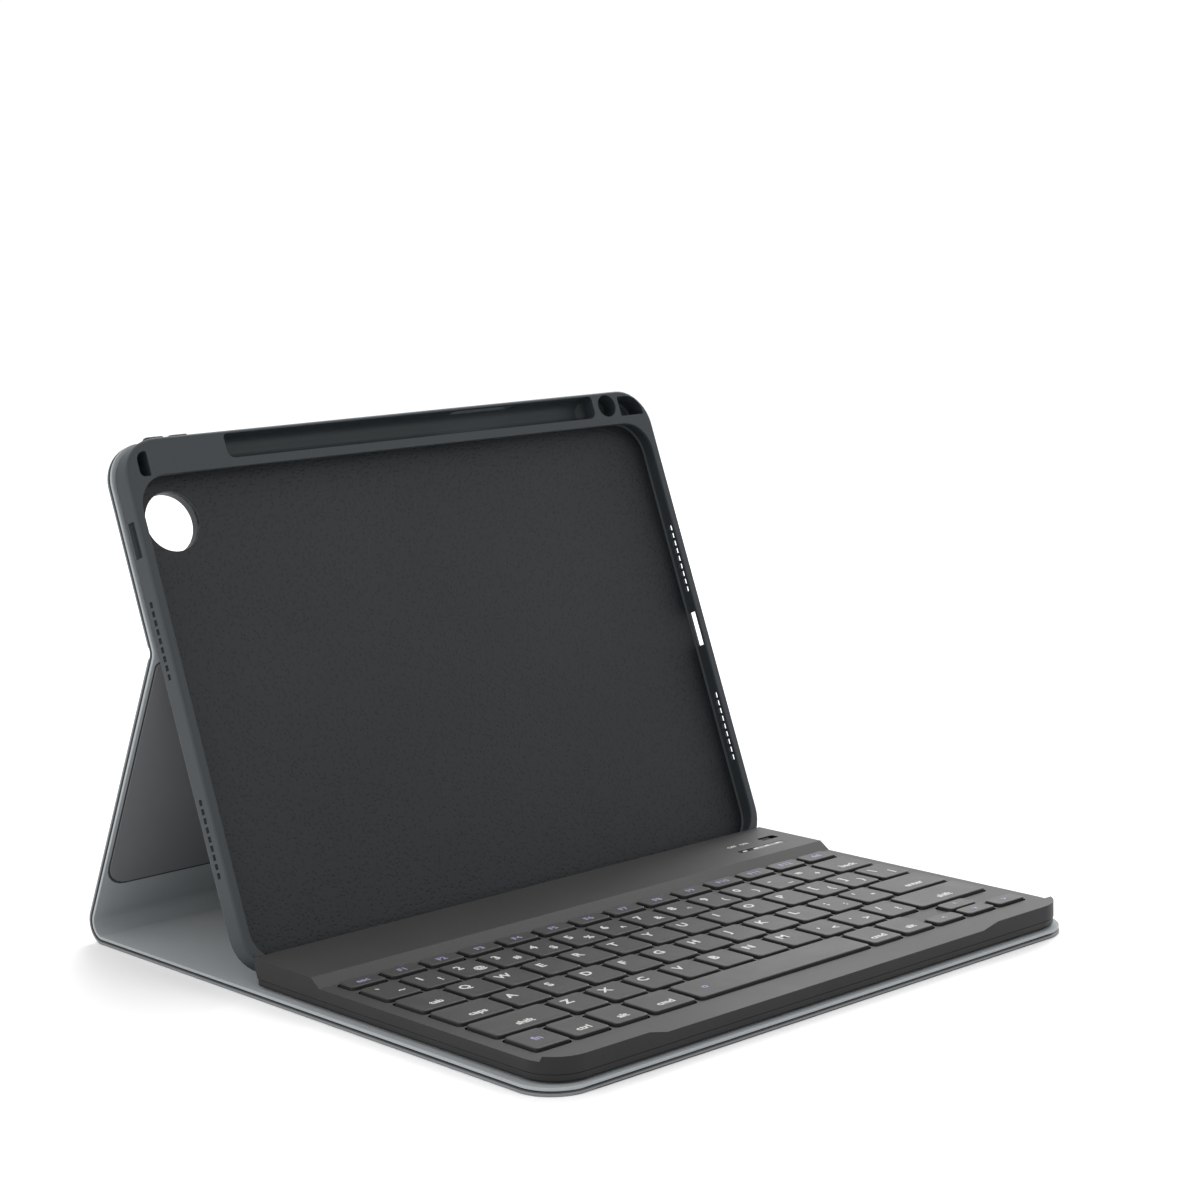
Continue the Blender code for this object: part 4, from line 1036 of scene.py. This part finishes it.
def make_bottom_case():
    """The keyboard's lower shell with a rounded rim, its feet in recesses, and screw holes."""
    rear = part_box("keyboard_bottom_case")[1].y
    corners = (CASE_RADIUS, 0.3 * MM, 0.3 * MM, CASE_RADIUS)
    x = (-CASE_X + 0.15 * MM, CASE_X - 0.15 * MM)
    bm = bmesh.new()
    add_pad(bm, x, (CASE_Y0 + 0.15 * MM, rear), (CASE_BOTTOM_Z, SPLIT_Z - 0.2 * MM), corners,
            (1.0 * MM, 0.1 * MM), 0, 8, 4)
    shell = mesh_object("keyboard_underside", bm, [CASE_DARK_AND_SIDE_SHADE])
    cutters = []
    for name in ("front_foot", "rear_foot"):
        low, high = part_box(name)
        bm = bmesh.new()
        add_pad(bm, grown((low.x, high.x), 0.25 * MM), grown((low.y, high.y), 0.25 * MM),
                (CASE_BOTTOM_Z - MM, high.z + 0.1 * MM), 3.4 * MM, (HAIR, HAIR), 0, 5, 1)
        cutters.append(mesh_object("foot_recess", bm, [CASE_DARK_AND_SIDE_SHADE]))
        bm = bmesh.new()
        add_pad(bm, (low.x, high.x), (low.y, high.y), (low.z, high.z), 3.3 * MM,
                (0.25 * MM, HAIR), 0, 5, 3)
        foot = soften(mesh_object(name + "_strip", bm, [FOOT_RUBBER]), 50)
        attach(foot, "keyboard")
        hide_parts(name)
    for name in ("screw_front_left", "screw_front_right", "screw_rear_left", "screw_rear_right"):
        low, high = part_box(name)
        centre = ((low.x + high.x) / 2, (low.y + high.y) / 2)
        cutters.append(cylinder_object("screw_recess", centre,
                                       (CASE_BOTTOM_Z - MM, SPLIT_Z), 2.05 * MM, [CASE_DARK_AND_SIDE_SHADE], 32))
    bake(shell, cutters)
    soften(shell, 35)
    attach(shell, "keyboard")
    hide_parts("keyboard_bottom_case")


def paint_nodes():
    """Give the carried-over CAD nodes their finishes."""
    finishes = {
        "battery": FOIL, "circuit_board": BOARD_GREEN, "charging_socket": STEEL,
        "ledge_magnet": STEEL, "key_support_plate": STEEL, "switch_membrane": FILM,
        "rubber_dome_sheet": SILICONE, "screw_front_left": BLACK_STEEL,
        "screw_front_right": BLACK_STEEL, "screw_rear_left": BLACK_STEEL,
        "screw_rear_right": BLACK_STEEL,
    }
    for name, mat in finishes.items():
        obj = frame["nodes"][name]
        if not obj.material_slots:
            obj.data.materials.append(mat)
        for place in obj.material_slots:
            place.material = mat


# ---------------------------------------------------------------- setting

def make_setting():
    """Pale floor, soft lights and the camera."""
    scene = bpy.context.scene
    bpy.ops.mesh.primitive_plane_add(size=FLOOR_SIZE)
    floor = bpy.context.object
    floor.name = "floor"
    mat, _, shader = node_tree("floor_paper")
    shader.inputs["Base Color"].default_value = FLOOR_WHITE
    shader.inputs["Roughness"].default_value = 0.9
    shader.inputs["Specular IOR Level"].default_value = 0.1
    floor.data.materials.append(mat)

    world = bpy.data.worlds.new("studio")
    world.use_nodes = True
    background = world.node_tree.nodes["Background"]
    background.inputs["Color"].default_value = (1, 1, 1, 1)
    background.inputs["Strength"].default_value = WORLD_STRENGTH
    scene.world = world

    for light in LIGHTS:
        add_area(*light)

    data = bpy.data.cameras.new("camera")
    data.sensor_width = 36
    data.lens = CAMERA_LENS
    data.clip_start = 0.01
    data.clip_end = 50
    camera = bpy.data.objects.new("camera", data)
    scene.collection.objects.link(camera)
    azimuth, elevation, roll = (math.radians(a) for a in CAMERA_ANGLES)
    forward = Vector((math.sin(azimuth) * math.cos(elevation),
                      math.cos(azimuth) * math.cos(elevation), math.sin(elevation)))
    level = forward.cross(Vector((0, 0, 1))).normalized()
    right = Matrix.Rotation(roll, 3, forward) @ level
    up = right.cross(forward)
    axes = Matrix((right, up, -forward)).transposed().to_4x4()
    camera.matrix_world = Matrix.Translation(Vector(CAMERA_PLACE) * MM) @ axes
    scene.camera = camera
    scene.view_settings.view_transform = "Standard"
    scene.view_settings.look = "None"


def add_area(name, place, target, size, power):
    """A square soft light that looks at target."""
    data = bpy.data.lights.new(name, "AREA")
    data.size = size
    data.energy = power
    light = bpy.data.objects.new(name, data)
    light.location = place
    light.rotation_euler = (Vector(target) - Vector(place)).to_track_quat("-Z", "Y").to_euler()
    bpy.context.scene.collection.objects.link(light)


def main():
    make_cover()
    make_tray()
    layout = key_layout()
    make_deck(layout)
    make_keys(layout)
    make_ledge_details()
    make_bottom_case()
    paint_nodes()
    make_setting()


main()
